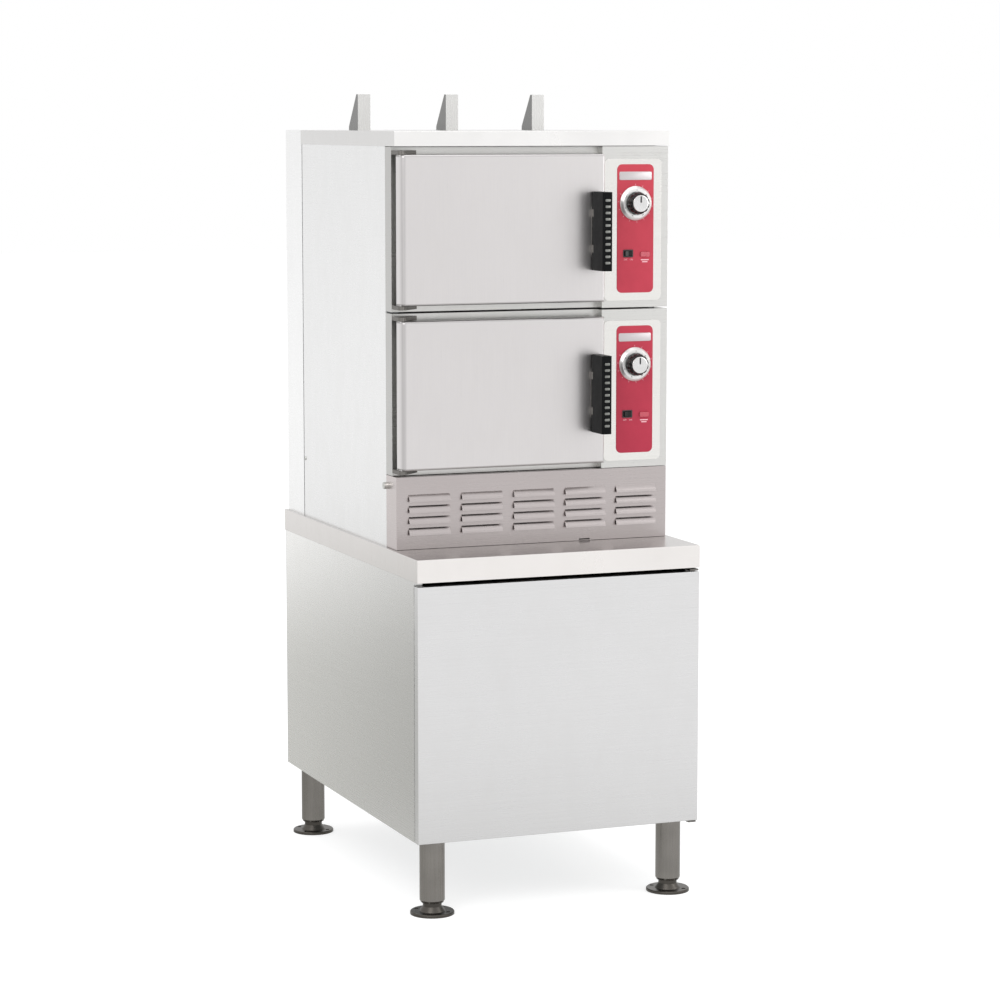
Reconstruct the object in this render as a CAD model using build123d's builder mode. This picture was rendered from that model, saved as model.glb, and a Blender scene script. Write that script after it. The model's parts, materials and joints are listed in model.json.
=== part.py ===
# Two-compartment convection steamer on a gas-boiler cabinet base, in millimetres.
# X runs to the right, Y to the back and Z up. The origin is on the floor, under the middle.
import os

from build123d import *

os.makedirs("parts", exist_ok=True)

# Overall sizes
cabinet_width = 610
cabinet_depth = 864
cabinet_height = 571
leg_height = 152
steamer_margin = 9
steamer_setback = 148
rear_reach = 30

# Sheet metal and clearances
sheet = 1.5
fit_gap = 0.3
run_gap = 0.4

# Cabinet base
cabinet_band = 46
side_flange = 18
base_rim = 40
gusset_size = 78
gusset_thickness = 5
door_pan_depth = 20
door_pan_gap = 6
door_lip = 12
door_top_gap = 8
door_bottom_gap = 1
door_side_gap = 0.5
door_rib_width = 60
pivot_inset = 10
pivot_radius = 4
pivot_engagement = 10
pivot_plate = 3

# Vent slots of the cabinet back
vent_pitch = 96
vent_spacing = 26
vent_length = 72
vent_height = 8

# Legs and feet
leg_inset = 46
leg_radius = 25.5
leg_bore = 19.3
leg_bottom = 24
leg_bore_depth = 82
stud_radius = 8
stud_height = 18
foot_radius = 44.5
foot_plate = 6
foot_cone = 10
foot_neck_top = 92
foot_hole_radius = 4.5
foot_hole_circle = 70

# Steamer shell
louvre_panel_height = 147
module_pitch = 328.5
frame_height = 325
upper_frame_height = 327.5
side_seam = 4
front_depth = 59
mouth_recess = 23
rear_depth = 114
cap_band = 30
cap_overhang = 2

# Cooking chambers
mouth_inset = 40
mouth_to_column = 54
mouth_rise = 37
mouth_height = 252
chamber_depth = 526
chamber_wall = 2
chamber_corner = 25
chamber_lip = 14
rack_count = 3
rack_height = 190
rack_runner = 14

# Compartment doors
door_inset = 2
door_to_column = 4.5
door_height = 298
door_rise = 14
door_thickness = 26
door_edge_radius = 5
hinge_edge_radius = 12
gasket_depth = 24
gasket_width = 14
gasket_margin = 16
liner_plug = 12
hinge_inset = 6
hinge_pin_radius = 4
hinge_thickness = 8
hinge_length = 44
hinge_pin_depth = 12

# Door handles and latches
handle_to_column = 36
handle_width = 21
handle_depth = 60.7
handle_height = 158
handle_rise = 79
handle_pivot_inset = 3.5
handle_pivot_offset = 4.2
handle_pin_radius = 3
knuckle_radius = 4.4
knuckle_height = 14
knuckle_spacing = 72
mount_plate = 1.5
hook_offset = 16
hook_thickness = 6
hook_height = 18
hook_tail = 5
nose_reach = 3.5
nose_gap = 1.2
striker_radius = 4

# Controls
column_width = 146
control_margin = 4
control_width = 126
control_rise = 14
control_height = 288
control_thickness = 3
overlay_offset = 72
overlay_width = 81
overlay_rise = 30
overlay_height = 261
overlay_thickness = 0.8
knob_rise = 212
skirt_radius = 35
skirt_thickness = 7
knob_radius = 23
knob_length = 26
knob_cap_radius = 17
knob_cap_length = 2.5
shaft_radius = 3
rocker_offset = -16
rocker_rise = 110
rocker_length = 16
rocker_width = 9.6
rocker_tilt = 7
rocker_barrel = 3
lamp_offset = 21.5
lamp_rise = 108
lamp_length = 22
lamp_width = 11
bush_radius = 5
rocker_gap = 0.9
rib_count = 11
rib_pitch = 12.5
rib_length = 14

# Louvres of the lower front panel
louvre_columns = 5
louvre_rows = 4
louvre_pitch_x = 113
louvre_pitch_z = 22.5
louvre_length = 88
louvre_height = 15
louvre_reach = 8
louvre_centre_rise = 70
notch_centre = 113
notch_width = 24
notch_height = 4

# Screws of the panels
screw_radius = 4.5
screw_margin = 8
screw_drop = 22
thumb_screw_radius = 7
thumb_screw_length = 9

# Brackets on the top
bracket_spacing = 199
bracket_width = 28
bracket_depth = 60
bracket_height = 76
bracket_setback = 468
bracket_foot = 3

# Boiler, burners and piping
boiler_radius = 165
boiler_length = 500
boiler_head = 45
crown_radius = 95
shoulder_radius = 148
knuckle_depth = 14
boiler_front = 130
boiler_rise = 330
firebox_width = 300
firebox_height = 120
firebox_wall = 4
burner_count = 4
burner_radius = 14
burner_pitch = 66
pipe_radius = 13.35
small_pipe_radius = 10.7
flue_width = 180
flue_depth = 66
riser_inset = 101
steam_riser_setback = 480
steam_turn_rise = 30
gas_inset = 55
gas_rise = 26
valve_length = 96
valve_knob_radius = 15
drain_inset = 90
drain_rise = 80
drain_lift_setback = 300
drain_valve_gap = 70
drain_nozzle_drop = 90
nozzle_length = 22
nozzle_wall = 4
chamber_drain_x = 60
chamber_drain_rise = 61
lever_length = 66
water_inset = 55
water_rise = 420
branch_rise = 190
column_offset = 52
solenoid_offset = 44
rail_height = 24
stub_length = 18
bore_length = 60
pipe_wall = 2.9
nut_length = 10
nut_radius = 19
small_nut_radius = 15
bend_radius = 26
fitting_size = 36
elbow_size = 30
tee_radius = 18
branch_radius = 10.7

# Places worked out from the sizes above
front = -(cabinet_depth + rear_reach) / 2
back = front + cabinet_depth
half_width = cabinet_width / 2
cabinet_top_z = leg_height + cabinet_height
side_outer = half_width - sheet - fit_gap
side_front = front + door_pan_depth + door_pan_gap
side_back = back - 2 * sheet - fit_gap
steamer_half = half_width - steamer_margin
column_left = steamer_half - column_width
control_left = column_left + control_margin
overlay_centre = column_left + overlay_offset
mouth_left = -steamer_half + mouth_inset
mouth_right = column_left - mouth_to_column
door_left = -steamer_half + door_inset
door_right = column_left - door_to_column
handle_left = column_left - handle_to_column
hook_left = handle_left + hook_offset
steam_riser_x = steamer_half - riser_inset
gas_x = -half_width + gas_inset
drain_x = half_width - drain_inset
water_x = half_width - water_inset
steamer_front = front + steamer_setback
mouth_plane = steamer_front + mouth_recess
flank_back = steamer_front + front_depth
rear_front = back - rear_depth
lower_z = cabinet_top_z + louvre_panel_height + 1
upper_z = lower_z + module_pitch
cap_bottom = upper_z + module_pitch
cap_top = cap_bottom + cap_band
door_back = mouth_plane - gasket_depth
door_front = door_back - door_thickness
hinge_x = door_left + hinge_inset
hinge_y = door_back - door_thickness / 2
control_face = steamer_front - control_thickness
overlay_face = control_face - overlay_thickness
leg_x = half_width - leg_inset
leg_front_y = front + leg_inset
leg_back_y = back - leg_inset
flue_y = back - rear_depth / 2
riser_y = steamer_front + steam_riser_setback
drain_z = leg_height + drain_rise
water_z = leg_height + water_rise
boiler_z = leg_height + boiler_rise
boiler_start = front + boiler_front
boiler_end = boiler_start + boiler_length
firebox_bottom = boiler_z - boiler_radius - firebox_height
gas_z = firebox_bottom + gas_rise
manifold_y = boiler_start + boiler_head - 66
valve_front = manifold_y + 30
drain_lift_y = front + drain_lift_setback
drain_valve_y = drain_lift_y + drain_valve_gap
pivot_line_x = handle_left + handle_pivot_inset
pivot_line_y = door_front - mount_plate - 0.8 - handle_pivot_offset
door_pan_top = cabinet_top_z - cabinet_band - door_top_gap
door_pan_bottom = leg_height + door_bottom_gap
chamber_back = mouth_plane + sheet + chamber_depth
drain_drop_y = (chamber_back + rear_front) / 2


def level(z):
    """A plane at height z, drawn as seen from above."""
    return Plane.XY.offset(z)


def facing(y):
    """An upright plane at depth y, drawn as seen from the front."""
    return Plane.XZ.offset(-y)


def across(x):
    """An upright plane at x, drawn as seen from the right, with Y to the right."""
    return Plane.YZ.offset(x)


def turned(x, y):
    """A plane through the upright line at x and y, for profiles that are revolved."""
    return Plane(origin=(x, y, 0), x_dir=(1, 0, 0), z_dir=(0, -1, 0))


def bored(x, z):
    """A plane through the line along Y at x and z: across is Y, up is the radius."""
    return Plane(origin=(x, 0, z), x_dir=(0, 1, 0), z_dir=(1, 0, 0))


def sheet_rect(x0, x1, y0, y1, radius=0, mode=Mode.ADD):
    """A rectangle between two corners, in the sketch that is open."""
    with Locations(((x0 + x1) / 2, (y0 + y1) / 2)):
        if radius:
            RectangleRounded(x1 - x0, y1 - y0, radius, mode=mode)
        else:
            Rectangle(x1 - x0, y1 - y0, mode=mode)


def pipe(points, radius):
    """A round pipe along a route, bent at each corner."""
    with BuildPart() as run:
        with BuildLine() as route:
            if len(points) > 2:
                FilletPolyline(*points, radius=bend_radius)
            else:
                Line(*points)
        with BuildSketch(Plane(origin=route.line @ 0, z_dir=route.line % 0)):
            Circle(radius)
        sweep(path=route.line)
    return run.part


def rear_nut(x, z, radius):
    """The hexagon nut behind the free end of a pipe that comes out at the back."""
    with BuildPart() as nut:
        with BuildSketch(facing(back + rear_reach - stub_length)):
            with Locations((x, z)):
                RegularPolygon(radius, 6)
        extrude(amount=nut_length)
    return nut.part


def rear_bore(x, z, radius):
    """The bore in that end."""
    rear = back + rear_reach
    return pipe([(x, rear, z), (x, rear - bore_length, z)], radius - pipe_wall)


def keep(piece, name):
    """Label a finished piece and write it."""
    piece.part.label = name
    export_step(piece.part, f"parts/{name}.step")


def make_cabinet_base():
    """Floor pan with turned-up rims and a gusset plate over each leg."""
    inner = side_outer - sheet
    rim_front = side_front + sheet
    rim_back = side_back - sheet
    with BuildPart() as base:
        with BuildSketch(level(leg_height)):
            sheet_rect(-inner, inner, rim_front, rim_back)
        extrude(amount=base_rim)
        with BuildSketch(level(leg_height + sheet)):
            sheet_rect(-inner + sheet, inner - sheet, rim_front + sheet, rim_back - sheet)
        extrude(amount=base_rim, mode=Mode.SUBTRACT)
        with BuildSketch(level(leg_height + sheet)):
            with Locations((-leg_x, leg_front_y), (leg_x, leg_front_y),
                           (-leg_x, leg_back_y), (leg_x, leg_back_y)):
                RectangleRounded(gusset_size, gusset_size, 6)
            sheet_rect(-inner, inner, rim_front, rim_back, mode=Mode.INTERSECT)
        extrude(amount=gusset_thickness)
        with BuildSketch(level(leg_height)):
            with Locations((-leg_x, leg_front_y), (leg_x, leg_front_y),
                           (-leg_x, leg_back_y), (leg_x, leg_back_y)):
                Circle(stud_radius + fit_gap)
        extrude(amount=base_rim, mode=Mode.SUBTRACT)
    keep(base, "cabinet_base")


def make_cabinet_side(name, side):
    """Side panel with flanges turned in at its front and back."""
    with BuildPart() as panel:
        with BuildSketch(level(leg_height)):
            sheet_rect(*sorted((side * side_outer, side * (side_outer - sheet))), side_front, side_back)
            flange = sorted((side * side_outer, side * (side_outer - side_flange)))
            sheet_rect(*flange, side_front, side_front + sheet)
            sheet_rect(*flange, side_back - sheet, side_back)
        extrude(amount=cabinet_height - sheet)
    keep(panel, name)


def make_cabinet_back():
    """Back panel with the service holes and rows of vent slots."""
    with BuildPart() as panel:
        with BuildSketch(facing(side_back)):
            sheet_rect(-side_outer, side_outer, leg_height, cabinet_top_z - sheet)
            with Locations((gas_x, gas_z), (drain_x, drain_z)):
                Circle(pipe_radius + 1, mode=Mode.SUBTRACT)
            with Locations((water_x, water_z)):
                Circle(small_pipe_radius + 1, mode=Mode.SUBTRACT)
            with Locations((0, leg_height + cabinet_height / 3)):
                with GridLocations(vent_pitch, vent_spacing, 3, 6):
                    SlotOverall(vent_length, vent_height, mode=Mode.SUBTRACT)
        extrude(amount=-sheet)
    keep(panel, "cabinet_back_panel")


def make_cabinet_top():
    """Top with bands turned down all round, and holes under the steamer."""
    with BuildPart() as top:
        with BuildSketch(level(cabinet_top_z - cabinet_band)):
            sheet_rect(-half_width, half_width, front, back)
        extrude(amount=cabinet_band)
        fillet(top.edges().group_by(Axis.Z)[-1], 1.2)
        with BuildSketch(level(cabinet_top_z - cabinet_band)):
            sheet_rect(-half_width + sheet, half_width - sheet, front + sheet, back - sheet)
        extrude(amount=cabinet_band - sheet, mode=Mode.SUBTRACT)
        with BuildSketch(level(cabinet_top_z)):
            with Locations((0, flue_y)):
                Rectangle(flue_width + 4, flue_depth + 4)
            with Locations((steam_riser_x, riser_y)):
                Circle(pipe_radius + 2)
            with Locations((drain_x, drain_drop_y)):
                Circle(pipe_radius + 2)
        extrude(amount=-2 * sheet, mode=Mode.SUBTRACT)
    keep(top, "cabinet_top")


def make_cabinet_door():
    """Folded door pan with lips, a hat-section rib and two pivot blocks."""
    half = half_width - door_side_gap
    pan_back = front + door_pan_depth
    pivot_x = half_width - pivot_inset
    pivot_y = front + pivot_inset
    bottom = door_pan_bottom
    top = door_pan_top
    with BuildPart() as door:
        with BuildSketch(facing(pan_back)):
            sheet_rect(-half, half, bottom, top)
        extrude(amount=door_pan_depth)
        fillet(door.edges().group_by(Axis.Y)[0], 1.2)
        with BuildSketch(facing(pan_back)):
            sheet_rect(-half + door_lip, half - door_lip, bottom + door_lip, top - door_lip)
        extrude(amount=sheet, mode=Mode.SUBTRACT)
        with BuildSketch(facing(pan_back - sheet)):
            sheet_rect(-half + sheet, half - sheet, bottom + sheet, top - sheet)
        extrude(amount=door_pan_depth - 2 * sheet, mode=Mode.SUBTRACT)
        with BuildSketch(level(bottom + door_lip)):
            with BuildLine():
                Polyline((-door_rib_width / 2, front + sheet), (-door_rib_width / 3, pan_back - 3),
                         (door_rib_width / 3, pan_back - 3), (door_rib_width / 2, front + sheet), close=True)
            make_face()
        extrude(amount=top - bottom - 2 * door_lip)
        with BuildSketch(level(bottom)):
            sheet_rect(half - 2 * pivot_inset, half, front + sheet, pan_back)
        extrude(amount=pivot_engagement + 2)
        with BuildSketch(level(top)):
            sheet_rect(half - 2 * pivot_inset, half, front + sheet, pan_back)
        extrude(amount=-pivot_engagement - 2)
        for z, way in ((bottom, 1), (top, -1)):
            with BuildSketch(level(z)):
                with Locations((pivot_x, pivot_y)):
                    Circle(pivot_radius + run_gap)
            extrude(amount=way * (pivot_engagement + 1), mode=Mode.SUBTRACT)
    keep(door, "cabinet_door")


def make_door_pivots():
    """Pivot brackets of the cabinet door, one under it and one over it, each with its pin."""
    pivot_x = half_width - pivot_inset
    pivot_y = front + pivot_inset
    plate_left = leg_x + leg_radius + fit_gap
    plate_right = half_width - sheet - fit_gap
    web_back = side_front - fit_gap
    with BuildPart() as pivots:
        with BuildSketch(level(leg_height - pivot_plate)):
            sheet_rect(plate_left, plate_right, pivot_y - 8, side_front + side_flange, 4)
        extrude(amount=pivot_plate)
        with BuildSketch(level(leg_height)):
            with Locations((pivot_x, pivot_y)):
                Circle(pivot_radius)
        extrude(amount=door_bottom_gap + pivot_engagement)
        with BuildSketch(level(door_pan_top + 2)):
            sheet_rect(plate_left, plate_right, pivot_y - 8, web_back)
        extrude(amount=pivot_plate)
        with BuildSketch(level(door_pan_top + 2)):
            sheet_rect(plate_left, plate_right, web_back - pivot_plate, web_back)
        extrude(amount=cabinet_top_z - sheet - door_pan_top - 2)
        with BuildSketch(level(door_pan_top + 2)):
            with Locations((pivot_x, pivot_y)):
                Circle(pivot_radius)
        extrude(amount=-pivot_engagement - 2)
    keep(pivots, "cabinet_door_pivots")


def make_door_catch():
    """Magnet catch that holds the free edge of the cabinet door."""
    catch_front = front + door_pan_depth + fit_gap
    with BuildPart() as catch:
        with BuildSketch(facing(side_front)):
            with Locations((-side_outer + side_flange / 2 + 1, door_pan_top - 60)):
                SlotOverall(50, 14, rotation=90)
        extrude(amount=side_front - catch_front)
    keep(catch, "cabinet_door_catch")


def make_leg(name, x, y):
    """Tube leg with a tapered lower edge, a bore for the foot and a mounting stud."""
    bore_top = leg_bottom + leg_bore_depth
    with BuildPart() as leg:
        with BuildSketch(turned(x, y)):
            with BuildLine():
                Polyline((leg_bore, leg_bottom), (leg_radius - 2.5, leg_bottom), (leg_radius, leg_bottom + 5),
                         (leg_radius, leg_height), (stud_radius, leg_height),
                         (stud_radius, leg_height + stud_height), (0, leg_height + stud_height),
                         (0, bore_top), (leg_bore, bore_top), close=True)
            make_face()
        revolve(axis=Axis((x, y, 0), (0, 0, 1)))
    keep(leg, name)


def make_foot(name, x, y):
    """Flanged foot whose neck slides in the leg, with four holes for floor bolts."""
    neck = leg_bore - fit_gap
    with BuildPart() as foot:
        with BuildSketch(turned(x, y)):
            with BuildLine():
                Polyline((0, 0), (foot_radius, 0), (foot_radius, foot_plate - 1.5),
                         (foot_radius - 1.5, foot_plate), (foot_hole_circle / 2 - foot_hole_radius - 4, foot_plate),
                         (neck, foot_plate + foot_cone), (neck, foot_neck_top), (0, foot_neck_top), close=True)
            make_face()
        revolve(axis=Axis((x, y, 0), (0, 0, 1)))
        with BuildSketch(level(0)):
            with Locations((x, y)):
                with PolarLocations(foot_hole_circle / 2, 4, start_angle=45):
                    Circle(foot_hole_radius)
        extrude(amount=foot_plate, mode=Mode.SUBTRACT)
    keep(foot, name)


def make_boiler():
    """Pressure shell with dished heads on a firebox skirt, with its hand-hole and steam outlet."""
    inner_half = firebox_width / 2 - firebox_wall
    with BuildPart() as boiler:
        with BuildSketch(bored(0, boiler_z)):
            with BuildLine():
                Line((boiler_start, 0), (boiler_end, 0))
                Polyline((boiler_end, 0), (boiler_end, crown_radius), (boiler_end - knuckle_depth, shoulder_radius),
                         (boiler_end - boiler_head, boiler_radius), (boiler_start + boiler_head, boiler_radius),
                         (boiler_start + knuckle_depth, shoulder_radius), (boiler_start, crown_radius),
                         (boiler_start, 0))
            make_face()
        revolve(axis=Axis((0, 0, boiler_z), (0, 1, 0)))
        with BuildSketch(level(firebox_bottom)):
            sheet_rect(-firebox_width / 2, firebox_width / 2, boiler_start + boiler_head, boiler_end - boiler_head)
        extrude(amount=boiler_z - firebox_bottom)
        with BuildSketch(level(firebox_bottom)):
            sheet_rect(-inner_half, inner_half, boiler_start + boiler_head - 1,
                       boiler_end - boiler_head - firebox_wall)
        extrude(amount=firebox_height, mode=Mode.SUBTRACT)
        with BuildSketch(facing(boiler_start + 12)):
            with Locations((0, boiler_z)):
                Circle(58)
        extrude(amount=20)
        with BuildSketch(facing(boiler_start - 8)):
            with Locations((0, boiler_z)):
                with PolarLocations(45, 6):
                    RegularPolygon(7, 6)
        extrude(amount=6)
        with BuildSketch(level(boiler_z)):
            with Locations((0, riser_y)):
                Circle(22)
        extrude(amount=boiler_radius + 14)
        with BuildSketch(across(firebox_width / 2 - 20)):
            with Locations((drain_lift_y, boiler_z - drain_nozzle_drop)):
                Circle(pipe_radius + nozzle_wall)
        extrude(amount=nozzle_length + 20)
        with BuildSketch(facing(boiler_end - boiler_head)):
            sheet_rect(-flue_width / 2, flue_width / 2, firebox_bottom + 30, firebox_bottom + 110)
        extrude(amount=boiler_end - boiler_head - (flue_y - flue_depth / 2))
        with BuildSketch(level(leg_height + sheet)):
            for y in (boiler_start + boiler_head + 12, boiler_end - boiler_head - 12):
                sheet_rect(-firebox_width / 2, -inner_half, y - 12, y + 12)
                sheet_rect(inner_half, firebox_width / 2, y - 12, y + 12)
        extrude(amount=firebox_bottom - leg_height - sheet)
    keep(boiler, "boiler")


def make_burners():
    """Tube burners with flared mixer mouths, tied by two cross rails."""
    burner_z = firebox_bottom + 26
    mouth_y = boiler_start + boiler_head - 30
    tail_y = boiler_end - boiler_head - firebox_wall - 20
    span = burner_pitch * (burner_count - 1) / 2
    with BuildPart() as burners:
        for index in range(burner_count):
            x = -span + index * burner_pitch
            with BuildSketch(bored(x, burner_z)):
                with BuildLine():
                    Polyline((mouth_y, 8), (mouth_y, burner_radius + 5), (mouth_y + 30, burner_radius - 3),
                             (mouth_y + 70, burner_radius), (tail_y, burner_radius), (tail_y, 0),
                             (mouth_y + 40, 0), (mouth_y + 40, 8), close=True)
                make_face()
            revolve(axis=Axis((x, 0, burner_z), (0, 1, 0)))
        for y in (mouth_y + 90, tail_y - 40):
            with BuildSketch(facing(y)):
                sheet_rect(-firebox_width / 2 + firebox_wall + fit_gap, firebox_width / 2 - firebox_wall - fit_gap,
                           burner_z - burner_radius - 8, burner_z - burner_radius + 4)
            extrude(amount=3)
    keep(burners, "burners")


def make_gas_piping():
    """Burner manifold with its nozzles, and the supply pipe that runs out at the back."""
    span = burner_pitch * (burner_count - 1) / 2
    with BuildPart() as piping:
        with Locations((gas_x, manifold_y, gas_z)):
            Box(fitting_size, fitting_size, fitting_size)
        add(pipe([(gas_x, manifold_y, gas_z), (span + 24, manifold_y, gas_z)], pipe_radius))
        with BuildSketch(facing(manifold_y)):
            with Locations(*[(-span + index * burner_pitch, gas_z) for index in range(burner_count)]):
                Circle(6)
        extrude(amount=-fitting_size)
        add(pipe([(gas_x, manifold_y, gas_z), (gas_x, valve_front, gas_z)], pipe_radius))
        add(pipe([(gas_x, valve_front + valve_length, gas_z), (gas_x, back + rear_reach, gas_z)], pipe_radius))
        add(rear_nut(gas_x, gas_z, nut_radius))
        add(rear_bore(gas_x, gas_z, pipe_radius), mode=Mode.SUBTRACT)
    keep(piping, "gas_piping")


def make_gas_valve():
    """Combination gas valve: cast body with two ports, a regulator tower and a solenoid head."""
    middle = valve_front + valve_length / 2
    with BuildPart() as valve:
        with BuildSketch(facing(valve_front + valve_length)):
            with Locations((gas_x, gas_z)):
                RectangleRounded(54, 52, 9)
        extrude(amount=valve_length)
        with BuildSketch(level(gas_z + 26)):
            with Locations((gas_x, middle + 18)):
                Circle(17)
        extrude(amount=26)
        with BuildSketch(level(gas_z + 26)):
            with Locations((gas_x, middle - 20)):
                Circle(valve_knob_radius - 3)
        extrude(amount=4)
        with BuildSketch(level(gas_z + 30)):
            with Locations((gas_x, middle - 20)):
                Circle(shaft_radius)
        extrude(amount=12)
        fillet(valve.edges().filter_by(GeomType.CIRCLE).group_by(Axis.Z)[-1], 1)
    keep(valve, "gas_valve")


def make_gas_valve_knob():
    """Turn knob of the gas valve, with a grip bar across it."""
    x = gas_x
    y = valve_front + valve_length / 2 - 20
    base = gas_z + 30 + run_gap
    with BuildPart() as knob:
        with BuildSketch(level(base)):
            with Locations((x, y)):
                Circle(valve_knob_radius)
        extrude(amount=6)
        with BuildSketch(level(base + 6)):
            with Locations((x, y)):
                SlotOverall(2 * valve_knob_radius - 3, 9, rotation=90)
        extrude(amount=10)
        with BuildSketch(level(base)):
            with Locations((x, y)):
                Circle(shaft_radius + run_gap)
        extrude(amount=13, mode=Mode.SUBTRACT)
    keep(knob, "gas_valve_knob")


def make_drain_line():
    """Blowdown valve under the boiler, chamber drains and the drain outlet at the back."""
    lower_drain = lower_z + chamber_drain_rise
    upper_drain = upper_z + chamber_drain_rise
    lift_z = boiler_z - drain_nozzle_drop
    nozzle_x = firebox_width / 2 + nozzle_length
    with BuildPart() as drain:
        with Locations((drain_x, drain_drop_y, drain_z), (drain_x, drain_drop_y, lower_drain)):
            Box(fitting_size, fitting_size, fitting_size)
        add(pipe([(nozzle_x, drain_lift_y, lift_z), (drain_x, drain_lift_y, lift_z), (drain_x, drain_lift_y, drain_z),
              (drain_x, back + rear_reach, drain_z)], pipe_radius))
        add(pipe([(drain_x, drain_drop_y, drain_z), (drain_x, drain_drop_y, upper_drain),
              (chamber_drain_x, drain_drop_y, upper_drain)], branch_radius))
        add(pipe([(drain_x, drain_drop_y, lower_drain), (chamber_drain_x, drain_drop_y, lower_drain)], branch_radius))
        for z in (lower_drain, upper_drain):
            with BuildSketch(facing(drain_drop_y + elbow_size / 2)):
                with Locations((chamber_drain_x, z)):
                    RectangleRounded(elbow_size, elbow_size, 5)
            extrude(amount=elbow_size)
            with BuildSketch(facing(drain_drop_y)):
                with Locations((chamber_drain_x, z)):
                    Circle(branch_radius)
            extrude(amount=drain_drop_y - chamber_back)
        add(rear_nut(drain_x, drain_z, nut_radius))
        add(rear_bore(drain_x, drain_z, pipe_radius), mode=Mode.SUBTRACT)
        with BuildSketch(facing(drain_valve_y + 34)):
            with Locations((drain_x, drain_z)):
                RegularPolygon(24, 6)
        extrude(amount=58)
        with BuildSketch(level(drain_z)):
            with Locations((drain_x, drain_valve_y + 5)):
                Circle(9)
        extrude(amount=30)
        with BuildSketch(level(drain_z + 30)):
            with Locations((drain_x, drain_valve_y + 5)):
                Circle(shaft_radius)
        extrude(amount=9)
    keep(drain, "drain_line")


def make_blowdown_lever():
    """Quarter-turn lever of the blowdown valve with a thick grip, drawn crosswise, which is closed."""
    base = drain_z + 30 + run_gap
    pivot = drain_valve_y + 5
    with BuildPart() as lever:
        with BuildSketch(level(base)):
            with Locations((drain_x, pivot)):
                Circle(11)
            with Locations((drain_x + lever_length / 2, pivot)):
                SlotOverall(lever_length + 10, 13)
        extrude(amount=4)
        with BuildSketch(level(base + 4)):
            with Locations((drain_x + lever_length - 18, pivot)):
                SlotOverall(44, 16)
        extrude(amount=7)
        with BuildSketch(level(base)):
            with Locations((drain_x, pivot)):
                Circle(shaft_radius + run_gap)
        extrude(amount=4, mode=Mode.SUBTRACT)
    keep(lever, "blowdown_lever")


def make_water_fill():
    """Water inlet pipe with its solenoid fill valve, down to the boiler shell."""
    valve_y = boiler_end + 70
    feed_y = boiler_end - 70
    shell_x = boiler_radius + fit_gap
    with BuildPart() as fill:
        add(pipe([(water_x, back + rear_reach, water_z), (water_x, feed_y, water_z), (water_x, feed_y, boiler_z),
              (shell_x, feed_y, boiler_z)], small_pipe_radius))
        add(rear_nut(water_x, water_z, small_nut_radius))
        add(rear_bore(water_x, water_z, small_pipe_radius), mode=Mode.SUBTRACT)
        with BuildSketch(facing(valve_y + 22)):
            with Locations((water_x, water_z)):
                RectangleRounded(36, 30, 5)
        extrude(amount=44)
        with BuildSketch(level(water_z)):
            with Locations((water_x, valve_y)):
                Circle(15)
        extrude(amount=58)
        fillet(fill.faces().sort_by(Axis.Z)[-1].edges(), 3)
    keep(fill, "water_fill_line")


def make_level_probe():
    """Water level column beside the boiler, with two ties and a probe head."""
    x = -boiler_radius - column_offset
    y = boiler_start + boiler_length / 2
    with BuildPart() as probe:
        with BuildSketch(turned(x, y)):
            with BuildLine():
                Polyline((0, boiler_z - 110), (20, boiler_z - 110), (28, boiler_z - 100), (28, boiler_z + 96),
                         (34, boiler_z + 96), (34, boiler_z + 108), (12, boiler_z + 108),
                         (12, boiler_z + 128), (0, boiler_z + 128), close=True)
            make_face()
        revolve(axis=Axis((x, y, 0), (0, 0, 1)))
        with BuildSketch(across(x)):
            with Locations((y, boiler_z)):
                Circle(small_pipe_radius)
        extrude(amount=-boiler_radius - fit_gap - x)
        with BuildSketch(level(boiler_z + 128)):
            with Locations((x, y)):
                with PolarLocations(6, 3):
                    Circle(2)
        extrude(amount=14)
    keep(probe, "level_probe")


def make_steam_line():
    """Steam riser from the boiler, with a solenoid valve on the branch to each chamber."""
    nozzle_top = boiler_z + boiler_radius + 14
    turn_z = nozzle_top + steam_turn_rise
    lower_branch = lower_z + branch_rise
    upper_branch = upper_z + branch_rise
    with BuildPart() as line:
        with BuildSketch(level(lower_branch - fitting_size / 2)):
            with Locations((steam_riser_x, riser_y)):
                Circle(tee_radius)
        extrude(amount=fitting_size)
        with BuildSketch(level(upper_branch - fitting_size / 2)):
            with Locations((steam_riser_x, riser_y)):
                Circle(tee_radius)
        extrude(amount=fitting_size)
        add(pipe([(0, riser_y, nozzle_top), (0, riser_y, turn_z), (steam_riser_x, riser_y, turn_z),
              (steam_riser_x, riser_y, upper_branch)], pipe_radius))
        with BuildSketch(level(nozzle_top)):
            with Locations((0, riser_y)):
                Circle(pipe_radius + 6)
        extrude(amount=8)
        for z in (lower_branch, upper_branch):
            with BuildSketch(across(mouth_right + chamber_wall)):
                with Locations((riser_y, z)):
                    Circle(branch_radius)
            extrude(amount=steam_riser_x - mouth_right - chamber_wall)
            with BuildSketch(across(mouth_right + chamber_wall + 26)):
                with Locations((riser_y, z)):
                    RectangleRounded(40, 40, 6)
            extrude(amount=36)
            with BuildSketch(facing(riser_y - 18)):
                with Locations((mouth_right + chamber_wall + solenoid_offset, z)):
                    Circle(16)
            extrude(amount=44)
    keep(line, "steam_line")


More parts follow.
